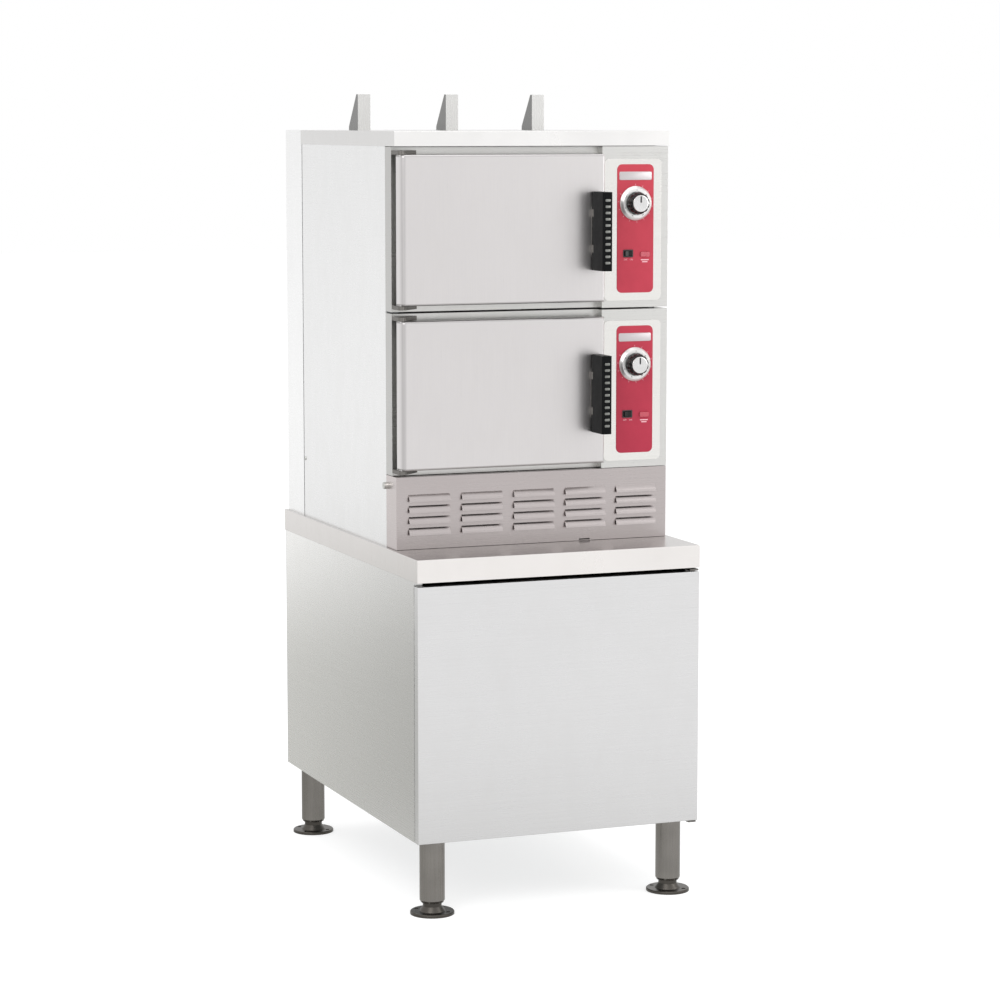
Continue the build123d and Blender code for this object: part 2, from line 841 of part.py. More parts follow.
def make_flue_duct():
    """Flue from the firebox up through the rear of the steamer, open at the top."""
    bottom = firebox_bottom
    top = cap_top - sheet - fit_gap
    with BuildPart() as flue:
        with BuildSketch(level(bottom)):
            with Locations((0, flue_y)):
                Rectangle(flue_width, flue_depth)
                Rectangle(flue_width - 2 * sheet, flue_depth - 2 * sheet, mode=Mode.SUBTRACT)
        extrude(amount=top - bottom)
        with BuildSketch(level(bottom)):
            with Locations((0, flue_y)):
                Rectangle(flue_width, flue_depth)
        extrude(amount=sheet)
    keep(flue, "flue_duct")


def make_steamer_chassis():
    """Base pan, corner posts and the cross rails that carry the two chambers."""
    post = 24
    left = -steamer_half + 4
    chassis_front = flank_back + 2
    chassis_back = rear_front - side_seam - 4
    post_top = cap_bottom - 2
    with BuildPart() as chassis:
        with BuildSketch(level(cabinet_top_z)):
            sheet_rect(left, -left, chassis_front, chassis_back)
            with Locations((steam_riser_x, riser_y), (drain_x, drain_drop_y)):
                Circle(pipe_radius + 2, mode=Mode.SUBTRACT)
        extrude(amount=2)
        with BuildSketch(level(cabinet_top_z)):
            for x in (left, -left):
                inward = post if x < 0 else -post
                for y, along in ((chassis_front, post), (chassis_back, -post)):
                    sheet_rect(*sorted((x, x + inward)), *sorted((y, y + 2 if along > 0 else y - 2)))
                    sheet_rect(*sorted((x, x + inward / 12)), *sorted((y, y + along)))
        extrude(amount=post_top - cabinet_top_z)
        for chamber_z in (lower_z + mouth_rise - chamber_wall, upper_z + mouth_rise - chamber_wall):
            with BuildSketch(level(chamber_z - rail_height)):
                for y in (chassis_front + 2, chamber_back - 2 * post):
                    sheet_rect(left, -left, y, y + 2)
                for x in (left, -left - 2):
                    sheet_rect(x, x + 2, chassis_front, chassis_back)
            extrude(amount=rail_height)
            with BuildSketch(level(chamber_z - 2)):
                for y in (chassis_front + 2, chamber_back - 2 * post):
                    sheet_rect(left, -left, y, y + post)
            extrude(amount=2)
    keep(chassis, "steamer_chassis")


def make_steamer_side(name, side):
    """Side panel of the steamer, with edges folded in at its front and back."""
    fold = 14
    with BuildPart() as panel:
        with BuildSketch(level(cabinet_top_z)):
            sheet_rect(*sorted((side * steamer_half, side * (steamer_half - sheet))),
                       flank_back + fit_gap, rear_front - side_seam)
            folded = sorted((side * steamer_half, side * (steamer_half - fold)))
            sheet_rect(*folded, rear_front - side_seam - sheet, rear_front - side_seam)
            sheet_rect(*sorted((side * steamer_half, side * (steamer_half - 3))),
                       flank_back + fit_gap, flank_back + fit_gap + sheet)
        extrude(amount=cap_top - sheet - fit_gap - cabinet_top_z)
    keep(panel, name)


def make_top_cap():
    """Top of the steamer with a deep turned-down band at the front and sides."""
    half = steamer_half + sheet + fit_gap
    cap_front = steamer_front - cap_overhang
    with BuildPart() as cap:
        with BuildSketch(level(cap_bottom)):
            sheet_rect(-half, half, cap_front, rear_front)
        extrude(amount=cap_band)
        fillet(cap.edges().group_by(Axis.Z)[-1].group_by(Axis.Y)[:-1], 1.2)
        with BuildSketch(level(cap_bottom)):
            sheet_rect(-half + sheet, half - sheet, cap_front + sheet, rear_front + 1)
        extrude(amount=cap_band - sheet, mode=Mode.SUBTRACT)
    keep(cap, "top_cap")


def make_rear_housing():
    """Flue housing at the back: three walls and a top with the open flue outlet."""
    half = steamer_half
    with BuildPart() as housing:
        with BuildSketch(level(cabinet_top_z)):
            sheet_rect(-half, half, rear_front, back)
        extrude(amount=cap_top - cabinet_top_z)
        fillet(housing.edges().filter_by(Axis.Z).group_by(Axis.Y)[-1], 2)
        with BuildSketch(level(cabinet_top_z)):
            sheet_rect(-half + sheet, half - sheet, rear_front - 1, back - sheet)
        extrude(amount=cap_top - cabinet_top_z - sheet, mode=Mode.SUBTRACT)
        with BuildSketch(level(cap_top)):
            with Locations((0, flue_y)):
                Rectangle(flue_width - 2 * sheet, flue_depth - 2 * sheet)
        extrude(amount=-2 * sheet, mode=Mode.SUBTRACT)
    keep(housing, "rear_housing")


def front_outline(inset):
    """Half of the stepped plan of a front frame: recessed behind the door, forward at the controls."""
    rear = flank_back if inset == 0 else flank_back + 1
    return [(-steamer_half + inset, rear), (-steamer_half + inset, mouth_plane + inset),
            (column_left + inset, mouth_plane + inset), (column_left + inset, steamer_front + inset),
            (steamer_half - inset, steamer_front + inset), (steamer_half - inset, rear)]


def make_front_frame(name, base, height):
    """Stepped front frame with the chamber mouth, and the holes behind its controls."""
    with BuildPart() as frame:
        with BuildSketch(level(base)):
            with BuildLine():
                Polyline(*front_outline(0), close=True)
            make_face()
        extrude(amount=height)
        with BuildSketch(level(base + sheet)):
            with BuildLine():
                Polyline(*front_outline(sheet), close=True)
            make_face()
        extrude(amount=height - 2 * sheet, mode=Mode.SUBTRACT)
        with BuildSketch(facing(mouth_plane - 1)):
            sheet_rect(mouth_left, mouth_right, base + mouth_rise, base + mouth_rise + mouth_height,
                       chamber_corner)
        extrude(amount=-sheet - 2, mode=Mode.SUBTRACT)
        with BuildSketch(facing(steamer_front - 1)):
            with Locations((overlay_centre, base + knob_rise)):
                Circle(bush_radius + fit_gap)
            with Locations((overlay_centre + rocker_offset, base + rocker_rise)):
                Rectangle(rocker_length + 4, rocker_width + 4)
            with Locations((overlay_centre + lamp_offset, base + lamp_rise)):
                Rectangle(lamp_length - 4, lamp_width - 3)
        extrude(amount=-sheet - 2, mode=Mode.SUBTRACT)
    keep(frame, name)


def make_louvre_panel():
    """Lower front panel with its flanks folded back and rows of pressed louvres."""
    bottom = cabinet_top_z + 0.5
    top = cabinet_top_z + louvre_panel_height
    face = steamer_front
    middle = cabinet_top_z + louvre_centre_rise
    with BuildPart() as panel:
        with BuildSketch(level(bottom)):
            sheet_rect(-steamer_half, steamer_half, face, flank_back)
        extrude(amount=top - bottom)
        fillet(panel.edges().filter_by(Axis.Z).group_by(Axis.Y)[0], 1.5)
        with BuildSketch(level(bottom + sheet)):
            sheet_rect(-steamer_half + sheet, steamer_half - sheet, face + sheet, flank_back + 1)
        extrude(amount=top - bottom - 2 * sheet, mode=Mode.SUBTRACT)
        with BuildSketch(facing(face - 1)):
            with Locations((0, middle)):
                with GridLocations(louvre_pitch_x, louvre_pitch_z, louvre_columns, louvre_rows):
                    Rectangle(louvre_length, louvre_height - 4)
            sheet_rect(notch_centre - notch_width / 2, notch_centre + notch_width / 2, bottom - 1,
                       bottom + notch_height)
        extrude(amount=-sheet - 1.5, mode=Mode.SUBTRACT)
        for column in range(louvre_columns):
            left = (column - (louvre_columns - 1) / 2) * louvre_pitch_x - louvre_length / 2
            with BuildSketch(across(left)):
                for row in range(louvre_rows):
                    crown = middle + (row - (louvre_rows - 1) / 2) * louvre_pitch_z + louvre_height / 2
                    with BuildLine():
                        Line((face + sheet, crown), (face, crown))
                        ThreePointArc((face, crown), (face - louvre_reach * 0.62, crown - louvre_height * 0.4),
                                      (face - louvre_reach, crown - louvre_height))
                        Line((face - louvre_reach, crown - louvre_height),
                             (face - louvre_reach + sheet, crown - louvre_height))
                        ThreePointArc((face - louvre_reach + sheet, crown - louvre_height),
                                      (face - louvre_reach * 0.62 + sheet, crown - louvre_height * 0.42),
                                      (face + sheet, crown - 2.6))
                        Line((face + sheet, crown - 2.6), (face + sheet, crown))
                    make_face()
            extrude(amount=louvre_length)
    keep(panel, "louvre_panel")


def make_chamber(name, base):
    """Cooking chamber with coved corners, a mouth lip, and holes for its steam and drain."""
    start = mouth_plane + sheet
    bottom = base + mouth_rise
    top = bottom + mouth_height
    with BuildPart() as chamber:
        with BuildSketch(facing(start)):
            sheet_rect(mouth_left - chamber_wall, mouth_right + chamber_wall, bottom - chamber_wall,
                       top + chamber_wall, chamber_corner + chamber_wall)
        extrude(amount=-chamber_depth)
        with BuildSketch(facing(start)):
            sheet_rect(mouth_left - chamber_lip, mouth_right + chamber_lip, bottom - chamber_lip,
                       top + chamber_lip, chamber_corner)
        extrude(amount=-chamber_wall)
        with BuildSketch(facing(start)):
            sheet_rect(mouth_left, mouth_right, bottom, top, chamber_corner)
        extrude(amount=-chamber_depth + chamber_wall, mode=Mode.SUBTRACT)
        with BuildSketch(across(mouth_right - 1)):
            with Locations((riser_y, base + branch_rise)):
                Circle(8)
        extrude(amount=chamber_wall + 2, mode=Mode.SUBTRACT)
        with BuildSketch(facing(start + chamber_depth + 1)):
            with Locations((chamber_drain_x, base + chamber_drain_rise)):
                Circle(10)
        extrude(amount=chamber_wall + 3, mode=Mode.SUBTRACT)
    keep(chamber, name)


def make_pan_racks():
    """Pan racks on both walls of each chamber: an upright sheet with folded runners."""
    rack_front = mouth_plane + sheet + 30
    rack_back = mouth_plane + sheet + chamber_depth - chamber_wall - 30
    with BuildPart() as racks:
        for base in (lower_z, upper_z):
            bottom = base + mouth_rise + (mouth_height - rack_height) / 2
            for wall, inward in ((mouth_left, 1), (mouth_right, -1)):
                x = wall + inward * fit_gap
                with BuildSketch(level(bottom)):
                    for y in (rack_front, rack_back - 30):
                        sheet_rect(*sorted((x, x + inward * sheet)), y, y + 30)
                extrude(amount=rack_height)
                for runner in range(rack_count):
                    z = bottom + 8 + runner * (rack_height - 16) / rack_count
                    with BuildSketch(level(z)):
                        sheet_rect(*sorted((x, x + inward * rack_runner)), rack_front, rack_back)
                    extrude(amount=sheet)
                    with BuildSketch(level(z)):
                        sheet_rect(*sorted((x, x + inward * sheet)), rack_front, rack_back)
                    extrude(amount=14)
    keep(racks, "pan_racks")


def make_control_panels():
    """Raised control panel in front of each frame column, with rounded corners."""
    with BuildPart() as panels:
        for base in (lower_z, upper_z):
            with BuildSketch(facing(steamer_front)):
                sheet_rect(control_left, control_left + control_width, base + control_rise,
                           base + control_rise + control_height, 10)
                with Locations((overlay_centre, base + knob_rise)):
                    Circle(bush_radius + fit_gap, mode=Mode.SUBTRACT)
                with Locations((overlay_centre + rocker_offset, base + rocker_rise)):
                    Rectangle(rocker_length + 4, rocker_width + 4, mode=Mode.SUBTRACT)
                with Locations((overlay_centre + lamp_offset, base + lamp_rise)):
                    Rectangle(lamp_length - 4, lamp_width - 3, mode=Mode.SUBTRACT)
            extrude(amount=control_thickness)
    keep(panels, "control_panels")


def make_control_overlays():
    """Coloured overlay on each control panel."""
    with BuildPart() as overlays:
        for base in (lower_z, upper_z):
            with BuildSketch(facing(control_face)):
                sheet_rect(overlay_centre - overlay_width / 2, overlay_centre + overlay_width / 2,
                           base + overlay_rise, base + overlay_rise + overlay_height, 11)
                with Locations((overlay_centre, base + knob_rise)):
                    Circle(bush_radius + fit_gap, mode=Mode.SUBTRACT)
                with Locations((overlay_centre + rocker_offset, base + rocker_rise)):
                    Rectangle(rocker_length + 4, rocker_width + 4, mode=Mode.SUBTRACT)
                with Locations((overlay_centre + lamp_offset, base + lamp_rise)):
                    Rectangle(lamp_length - 4, lamp_width - 3, mode=Mode.SUBTRACT)
            extrude(amount=overlay_thickness)
    keep(overlays, "control_overlays")


def make_switchgear():
    """Timer bodies with their shafts, and the housings of the rocker switches."""
    behind = steamer_front + sheet
    with BuildPart() as switchgear:
        for base in (lower_z, upper_z):
            knob_z = base + knob_rise
            rocker_x = overlay_centre + rocker_offset
            rocker_z = base + rocker_rise
            with BuildSketch(facing(behind + 34)):
                with Locations((overlay_centre, knob_z)):
                    RectangleRounded(46, 46, 4)
            extrude(amount=34)
            with BuildSketch(facing(behind)):
                with Locations((overlay_centre, knob_z)):
                    Circle(bush_radius)
            extrude(amount=behind - overlay_face - fit_gap)
            with BuildSketch(facing(overlay_face)):
                with Locations((overlay_centre, knob_z)):
                    Circle(shaft_radius)
            extrude(amount=knob_length - 6)
            with BuildSketch(facing(behind + 22)):
                with Locations((rocker_x, rocker_z)):
                    Rectangle(rocker_length + 3.6, rocker_width + 3.6)
            extrude(amount=behind + 22 - overlay_face)
            with BuildSketch(facing(overlay_face)):
                with Locations((rocker_x, rocker_z)):
                    RectangleRounded(rocker_length + 6, rocker_width + 6, 2)
            extrude(amount=1.2)
            with BuildSketch(facing(overlay_face - 1.2)):
                with Locations((rocker_x, rocker_z)):
                    Rectangle(rocker_length + 2 * rocker_gap, rocker_width + 2 * rocker_gap)
            extrude(amount=-12, mode=Mode.SUBTRACT)
    keep(switchgear, "control_switchgear")


def make_indicator_lamps():
    """Indicator lenses beside the switches, with their bodies behind the panel."""
    with BuildPart() as lamps:
        for base in (lower_z, upper_z):
            lamp_x = overlay_centre + lamp_offset
            lamp_z = base + lamp_rise
            with BuildSketch(facing(overlay_face)):
                with Locations((lamp_x, lamp_z)):
                    RectangleRounded(lamp_length, lamp_width, 3)
            extrude(amount=2.6, taper=14)
            with BuildSketch(facing(steamer_front + sheet + 12)):
                with Locations((lamp_x, lamp_z)):
                    Rectangle(lamp_length - 4.6, lamp_width - 3.6)
            extrude(amount=steamer_front + sheet + 12 - overlay_face)
    keep(lamps, "indicator_lamps")


def make_timer_knob(name, base):
    """Timer knob: a bevelled dial skirt, a fluted body and a bright cap with a pointer groove."""
    z = base + knob_rise
    rear = overlay_face - run_gap
    skirt_front = rear - skirt_thickness
    nose = skirt_front - knob_length + skirt_thickness
    with BuildPart() as knob:
        with BuildSketch(bored(overlay_centre, z)):
            with BuildLine():
                Polyline((rear, 0), (rear, skirt_radius), (rear - 2, skirt_radius),
                         (skirt_front, skirt_radius - 5), (skirt_front, knob_radius),
                         (nose + 1.5, knob_radius - 2.5), (nose, knob_radius - 4),
                         (nose, knob_cap_radius), (nose - knob_cap_length, knob_cap_radius - 1),
                         (nose - knob_cap_length, 0), close=True)
            make_face()
        revolve(axis=Axis((overlay_centre, 0, z), (0, 1, 0)))
        with BuildSketch(facing(skirt_front)):
            with Locations((overlay_centre, z)):
                with PolarLocations(knob_radius + 0.8, 12, start_angle=15):
                    Circle(2.6)
        extrude(amount=knob_length, mode=Mode.SUBTRACT)
        with BuildSketch(facing(nose - knob_cap_length)):
            with Locations((overlay_centre, z + knob_cap_radius / 2)):
                Rectangle(2.4, knob_cap_radius)
        extrude(amount=-1, mode=Mode.SUBTRACT)
        with BuildSketch(facing(rear)):
            with Locations((overlay_centre, z)):
                Circle(shaft_radius + run_gap)
        extrude(amount=knob_length - 5, mode=Mode.SUBTRACT)
    keep(knob, name)


def make_rocker(name, base):
    """Rocker paddle with a shallow V face, drawn in its off position."""
    x = overlay_centre + rocker_offset
    z = base + rocker_rise - rocker_width / 2
    axle_y = overlay_face + 1.5
    half = rocker_length / 2
    with BuildPart() as rocker:
        with BuildSketch(Plane(origin=(x, axle_y, z), x_dir=(1, 0, 0), z_dir=(0, 0, 1)).rotated((0, 0, rocker_tilt))):
            with BuildLine():
                Polyline((-half, -4.6), (0, -3.2), (half, -4.6), (half * 0.82, 2.4), (-half * 0.82, 2.4), close=True)
            make_face()
            Circle(rocker_barrel)
        extrude(amount=rocker_width)
    keep(rocker, name)


def make_top_brackets():
    """Three folded brackets on the top, upright at the front and sloping at the back."""
    bracket_front = steamer_front + bracket_setback
    with BuildPart() as brackets:
        for x in (-bracket_spacing, 0, bracket_spacing):
            with BuildSketch(across(x - bracket_width / 2)):
                with BuildLine():
                    Polyline((bracket_front, cap_top), (bracket_front + bracket_depth, cap_top),
                             (bracket_front + bracket_depth, cap_top + 8),
                             (bracket_front + 10, cap_top + bracket_height),
                             (bracket_front, cap_top + bracket_height), close=True)
                make_face()
            extrude(amount=bracket_width)
            with BuildSketch(facing(bracket_front + bracket_foot)):
                sheet_rect(x - bracket_width / 2 + bracket_foot, x + bracket_width / 2 - bracket_foot,
                           cap_top + bracket_foot, cap_top + bracket_height + 1)
            extrude(amount=-bracket_depth, mode=Mode.SUBTRACT)
    keep(brackets, "top_brackets")


def make_screws():
    """Dome-head screws of the panels, and the thumb screws that hold the louvred panel."""
    with BuildPart() as screws:
        for side in (-1, 1):
            facing_out = Plane(origin=(side * steamer_half, 0, 0), x_dir=(0, side, 0), z_dir=(side, 0, 0))
            with BuildSketch(facing_out):
                with Locations((side * (rear_front - side_seam - screw_margin), lower_z - screw_drop)):
                    Circle(screw_radius)
            extrude(amount=1.6, taper=30)
            with BuildSketch(facing_out):
                with Locations((side * (flank_back - screw_margin), lower_z - screw_drop)):
                    Circle(thumb_screw_radius)
            extrude(amount=thumb_screw_length)
        with BuildSketch(facing(side_back + sheet)):
            with Locations((0, leg_height + cabinet_height / 2)):
                with GridLocations(2 * (side_outer - screw_margin), cabinet_height * 3 / 4, 2, 2):
                    Circle(screw_radius)
        extrude(amount=-sheet, taper=20)
    keep(screws, "panel_screws")


def make_door_shell(name, base):
    """Outer door pan with rounded edges, hinge bushes and the slot of the latch hook."""
    bottom = base + door_rise
    top = bottom + door_height
    with BuildPart() as shell:
        with BuildSketch(facing(door_back)):
            sheet_rect(door_left, door_right, bottom, top)
        extrude(amount=door_thickness)
        fillet(shell.edges().filter_by(Axis.Z).group_by(Axis.Y)[0].sort_by(Axis.X)[0], hinge_edge_radius)
        fillet(shell.faces().sort_by(Axis.Y)[0].edges().sort_by(Axis.X)[1:], door_edge_radius)
        with BuildPart(mode=Mode.PRIVATE) as cavity:
            with BuildSketch(facing(door_back)):
                sheet_rect(door_left + sheet, door_right - sheet, bottom + sheet, top - sheet)
            extrude(amount=door_thickness - sheet)
            fillet(cavity.edges().filter_by(Axis.Z).group_by(Axis.Y)[0].sort_by(Axis.X)[0],
                   hinge_edge_radius - sheet)
            fillet(cavity.faces().sort_by(Axis.Y)[0].edges().sort_by(Axis.X)[1:], door_edge_radius - sheet)
        add(cavity.part, mode=Mode.SUBTRACT)
        for z, way in ((bottom, 1), (top, -1)):
            with BuildSketch(level(z)):
                sheet_rect(door_left + sheet, hinge_x + 2 * hinge_inset, hinge_y - hinge_pin_radius - 2, door_back)
            extrude(amount=way * (hinge_pin_depth + 3))
        for z, way in ((bottom, 1), (top, -1)):
            with BuildSketch(level(z)):
                with Locations((hinge_x, hinge_y)):
                    Circle(hinge_pin_radius + run_gap)
            extrude(amount=way * (hinge_pin_depth + 1), mode=Mode.SUBTRACT)
        with BuildSketch(facing(door_front - 1)):
            slot_z = base + handle_rise + handle_height / 2
            sheet_rect(hook_left - 2, hook_left + hook_thickness + 5, slot_z - hook_height / 2 - 2,
                       slot_z + hook_height / 2 + 2)
        extrude(amount=-sheet - 2, mode=Mode.SUBTRACT)
    keep(shell, name)


def make_door_liner(name, base):
    """Inner door panel with a pressed plug that fills the mouth, inside the gasket."""
    bottom = base + door_rise
    slot_z = base + handle_rise + handle_height / 2
    with BuildPart() as liner:
        with BuildSketch(facing(door_back + sheet)):
            sheet_rect(door_left + fit_gap, door_right - fit_gap, bottom + fit_gap,
                       bottom + door_height - fit_gap)
        extrude(amount=sheet)
        with BuildSketch(facing(door_back + sheet)):
            sheet_rect(mouth_left + 10, mouth_right - 10, base + mouth_rise + 10,
                       base + mouth_rise + mouth_height - 10, chamber_corner)
        extrude(amount=-liner_plug, taper=20)
        with BuildSketch(facing(door_back - 1)):
            sheet_rect(hook_left - 2, door_right - 1.2, slot_z - hook_height / 2 - 2,
                       slot_z + hook_height / 2 + 2)
        extrude(amount=-sheet - 2, mode=Mode.SUBTRACT)
    keep(liner, name)


def make_door_gasket(name, base):
    """Silicone gasket ring, with a rounded lip that meets the frame."""
    bottom = base + mouth_rise
    top = bottom + mouth_height
    ring_front = door_back + sheet
    depth = gasket_depth - sheet - fit_gap
    with BuildPart() as gasket:
        with BuildSketch(facing(ring_front)):
            sheet_rect(mouth_left - gasket_margin, mouth_right + gasket_margin, bottom - gasket_margin,
                       top + gasket_margin, chamber_corner + gasket_margin)
        extrude(amount=-depth)
        with BuildSketch(facing(ring_front)):
            inner = gasket_margin - gasket_width
            sheet_rect(mouth_left - inner, mouth_right + inner, bottom - inner, top + inner,
                       chamber_corner + inner)
        extrude(amount=-depth, mode=Mode.SUBTRACT)
        chamfer(gasket.edges().group_by(Axis.Y)[-1], 3)
    keep(gasket, name)


def make_door_hinges():
    """Hinge plates above and below each compartment door, each with its pin."""
    with BuildPart() as hinges:
        for base in (lower_z, upper_z):
            door_bottom = base + door_rise
            door_top = door_bottom + door_height
            for edge, way in ((door_bottom - fit_gap, -1), (door_top + fit_gap, 1)):
                with BuildSketch(level(edge)):
                    with BuildLine():
                        Polyline((hinge_x - 7, mouth_plane), (hinge_x - 7, hinge_y),
                                 (hinge_x + 7, hinge_y - 4), (hinge_x + hinge_length, mouth_plane - 4),
                                 (hinge_x + hinge_length, mouth_plane), close=True)
                    make_face()
                    with Locations((hinge_x, hinge_y)):
                        Circle(7)
                extrude(amount=way * hinge_thickness)
                with BuildSketch(level(edge)):
                    with Locations((hinge_x, hinge_y)):
                        Circle(hinge_pin_radius)
                extrude(amount=-way * hinge_pin_depth)
    keep(hinges, "door_hinges")


def make_strikers():
    """Latch strikers: a foot on the frame and two ears with an upright pin between them."""
    pin_x = hook_left - nose_reach - striker_radius - nose_gap
    pin_y = mouth_plane - 17
    ear = 4
    inside = hook_height / 2 + 3
    with BuildPart() as strikers:
        for base in (lower_z, upper_z):
            middle = base + handle_rise + handle_height / 2
            with BuildSketch(facing(mouth_plane)):
                with Locations((pin_x + 6, middle)):
                    RectangleRounded(24, 2 * inside + 2 * ear + 12, 3)
            extrude(amount=2.5)
            for z in (middle - inside - ear, middle + inside):
                with BuildSketch(level(z)):
                    with Locations((pin_x, pin_y)):
                        Circle(striker_radius + 1)
                    sheet_rect(pin_x - striker_radius - 1, pin_x + striker_radius + 1, pin_y, mouth_plane)
                extrude(amount=ear)
            with BuildSketch(level(middle - inside)):
                with Locations((pin_x, pin_y)):
                    Circle(striker_radius)
            extrude(amount=2 * inside)
    keep(strikers, "door_strikers")


def make_handle_mount(name, base):
    """Pivot mount on the door face: a plate, two knuckles and the upright pin."""
    middle = base + handle_rise + handle_height / 2
    half = knuckle_spacing / 2 + knuckle_height
    slot = hook_height / 2 + 2
    with BuildPart() as mount:
        with BuildSketch(facing(door_front)):
            sheet_rect(handle_left + 1, handle_left + handle_width - 2, middle - half, middle + half)
            sheet_rect(hook_left - 2, handle_left + handle_width, middle - slot, middle + slot,
                       mode=Mode.SUBTRACT)
        extrude(amount=mount_plate)
        for way in (-1, 1):
            with BuildSketch(level(middle + way * knuckle_spacing / 2 - knuckle_height / 2)):
                with Locations((pivot_line_x, pivot_line_y)):
                    Circle(knuckle_radius)
                sheet_rect(pivot_line_x - 2.5, pivot_line_x + knuckle_radius, pivot_line_y, door_front)
            extrude(amount=knuckle_height)
        with BuildSketch(level(middle - half - 8)):
            with Locations((pivot_line_x, pivot_line_y)):
                Circle(handle_pin_radius)
        extrude(amount=2 * half + 16)
    keep(mount, name)


def make_handle(name, base):
    """Blade handle with a ribbed grip, notched round its pivot, and the latch hook behind it."""
    middle = base + handle_rise + handle_height / 2
    bottom = base + handle_rise
    rear = door_front - mount_plate - 0.8
    nose = rear - handle_depth
    right = handle_left + handle_width
    hook_back = mouth_plane - hook_tail
    hook_right = hook_left + hook_thickness
    grip_middle = (handle_left + right) / 2
    with BuildPart() as handle:
        with BuildSketch(level(bottom)):
            sheet_rect(handle_left, right, nose, rear)
        extrude(amount=handle_height)
        fillet(handle.edges().filter_by(Axis.Z).group_by(Axis.Y)[0], 5)
        fillet(handle.edges().filter_by(Axis.Z).group_by(Axis.Y)[-1].sort_by(Axis.X)[0], 3)
        with BuildSketch(facing(nose + 1.5)):
            with Locations((grip_middle, middle)):
                with GridLocations(0, rib_pitch, 1, rib_count):
                    Rectangle(rib_length, rib_pitch / 2)
        extrude(amount=3, mode=Mode.SUBTRACT)
        for way in (-1, 1):
            with BuildSketch(level(middle + way * knuckle_spacing / 2 - knuckle_height / 2 - 1)):
                sheet_rect(handle_left - 1, right + 1, pivot_line_y - knuckle_radius - 1, rear + 1)
            extrude(amount=knuckle_height + 2, mode=Mode.SUBTRACT)
        with BuildSketch(level(bottom - 1)):
            with Locations((pivot_line_x, pivot_line_y)):
                Circle(handle_pin_radius + run_gap)
        extrude(amount=handle_height + 2, mode=Mode.SUBTRACT)
        with BuildSketch(level(middle - hook_height / 2)):
            sheet_rect(hook_left, hook_right, rear - 8, hook_back)
            with BuildLine():
                Polyline((hook_left + 1, hook_back), (hook_left - nose_reach, hook_back - 2),
                         (hook_left - nose_reach, hook_back - 4), (hook_left + 1, hook_back - 7), close=True)
            make_face()
        extrude(amount=hook_height)
    keep(handle, name)


make_cabinet_base()
make_cabinet_side("cabinet_left_panel", -1)
make_cabinet_side("cabinet_right_panel", 1)
make_cabinet_back()
make_cabinet_top()
make_cabinet_door()
make_door_pivots()
make_door_catch()
for end, y in (("front", leg_front_y), ("rear", leg_back_y)):
    for hand, x in (("left", -leg_x), ("right", leg_x)):
        make_leg(f"leg_{end}_{hand}", x, y)
        make_foot(f"foot_{end}_{hand}", x, y)
make_boiler()
make_burners()
make_gas_piping()
make_gas_valve()
make_gas_valve_knob()
make_drain_line()
make_blowdown_lever()
make_water_fill()
make_level_probe()
make_steam_line()
make_flue_duct()
make_steamer_chassis()
make_steamer_side("steamer_left_panel", -1)
make_steamer_side("steamer_right_panel", 1)
make_top_cap()
make_rear_housing()
make_louvre_panel()
make_pan_racks()
make_control_panels()
make_control_overlays()
make_switchgear()
make_indicator_lamps()
make_top_brackets()
make_screws()
make_door_hinges()
make_strikers()
for storey, base, height in (("lower", lower_z, frame_height), ("upper", upper_z, upper_frame_height)):
    make_front_frame(f"{storey}_front_frame", base, height)
    make_chamber(f"{storey}_chamber", base)
    make_timer_knob(f"{storey}_timer_knob", base)
    make_rocker(f"{storey}_rocker", base)
    make_door_shell(f"{storey}_door_shell", base)
    make_door_liner(f"{storey}_door_liner", base)
    make_door_gasket(f"{storey}_door_gasket", base)
    make_handle_mount(f"{storey}_handle_mount", base)
    make_handle(f"{storey}_door_handle", base)
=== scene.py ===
import json
import math

import bpy
from mathutils import Matrix, Vector

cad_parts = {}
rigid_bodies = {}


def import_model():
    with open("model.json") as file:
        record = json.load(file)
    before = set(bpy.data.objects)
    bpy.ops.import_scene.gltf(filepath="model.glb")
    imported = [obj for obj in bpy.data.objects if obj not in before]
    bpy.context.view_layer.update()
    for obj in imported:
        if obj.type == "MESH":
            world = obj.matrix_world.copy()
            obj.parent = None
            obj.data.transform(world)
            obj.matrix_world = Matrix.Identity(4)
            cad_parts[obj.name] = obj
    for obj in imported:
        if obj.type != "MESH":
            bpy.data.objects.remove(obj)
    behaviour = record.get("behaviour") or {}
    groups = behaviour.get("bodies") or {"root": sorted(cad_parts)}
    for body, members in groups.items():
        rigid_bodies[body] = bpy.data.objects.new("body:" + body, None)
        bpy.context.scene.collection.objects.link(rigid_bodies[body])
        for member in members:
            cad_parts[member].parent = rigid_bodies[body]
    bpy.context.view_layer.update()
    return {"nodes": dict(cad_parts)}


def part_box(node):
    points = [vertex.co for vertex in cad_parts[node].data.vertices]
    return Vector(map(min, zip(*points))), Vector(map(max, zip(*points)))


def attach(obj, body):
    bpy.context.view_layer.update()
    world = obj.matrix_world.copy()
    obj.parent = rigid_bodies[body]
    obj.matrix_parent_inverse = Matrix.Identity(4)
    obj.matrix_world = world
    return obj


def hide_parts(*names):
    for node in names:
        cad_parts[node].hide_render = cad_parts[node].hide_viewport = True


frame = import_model()
NODES = frame["nodes"]
for obj in bpy.data.objects:
    obj.select_set(False)

SCENE = bpy.context.scene
SCENE.view_settings.view_transform = "Standard"


# ---------------------------------------------------------------- materials

# Places of the factor, the two colours and the mixed colour among a Mix node's sockets.
MIX_FACTOR, MIX_A, MIX_B, MIX_RESULT = 0, 6, 7, 2
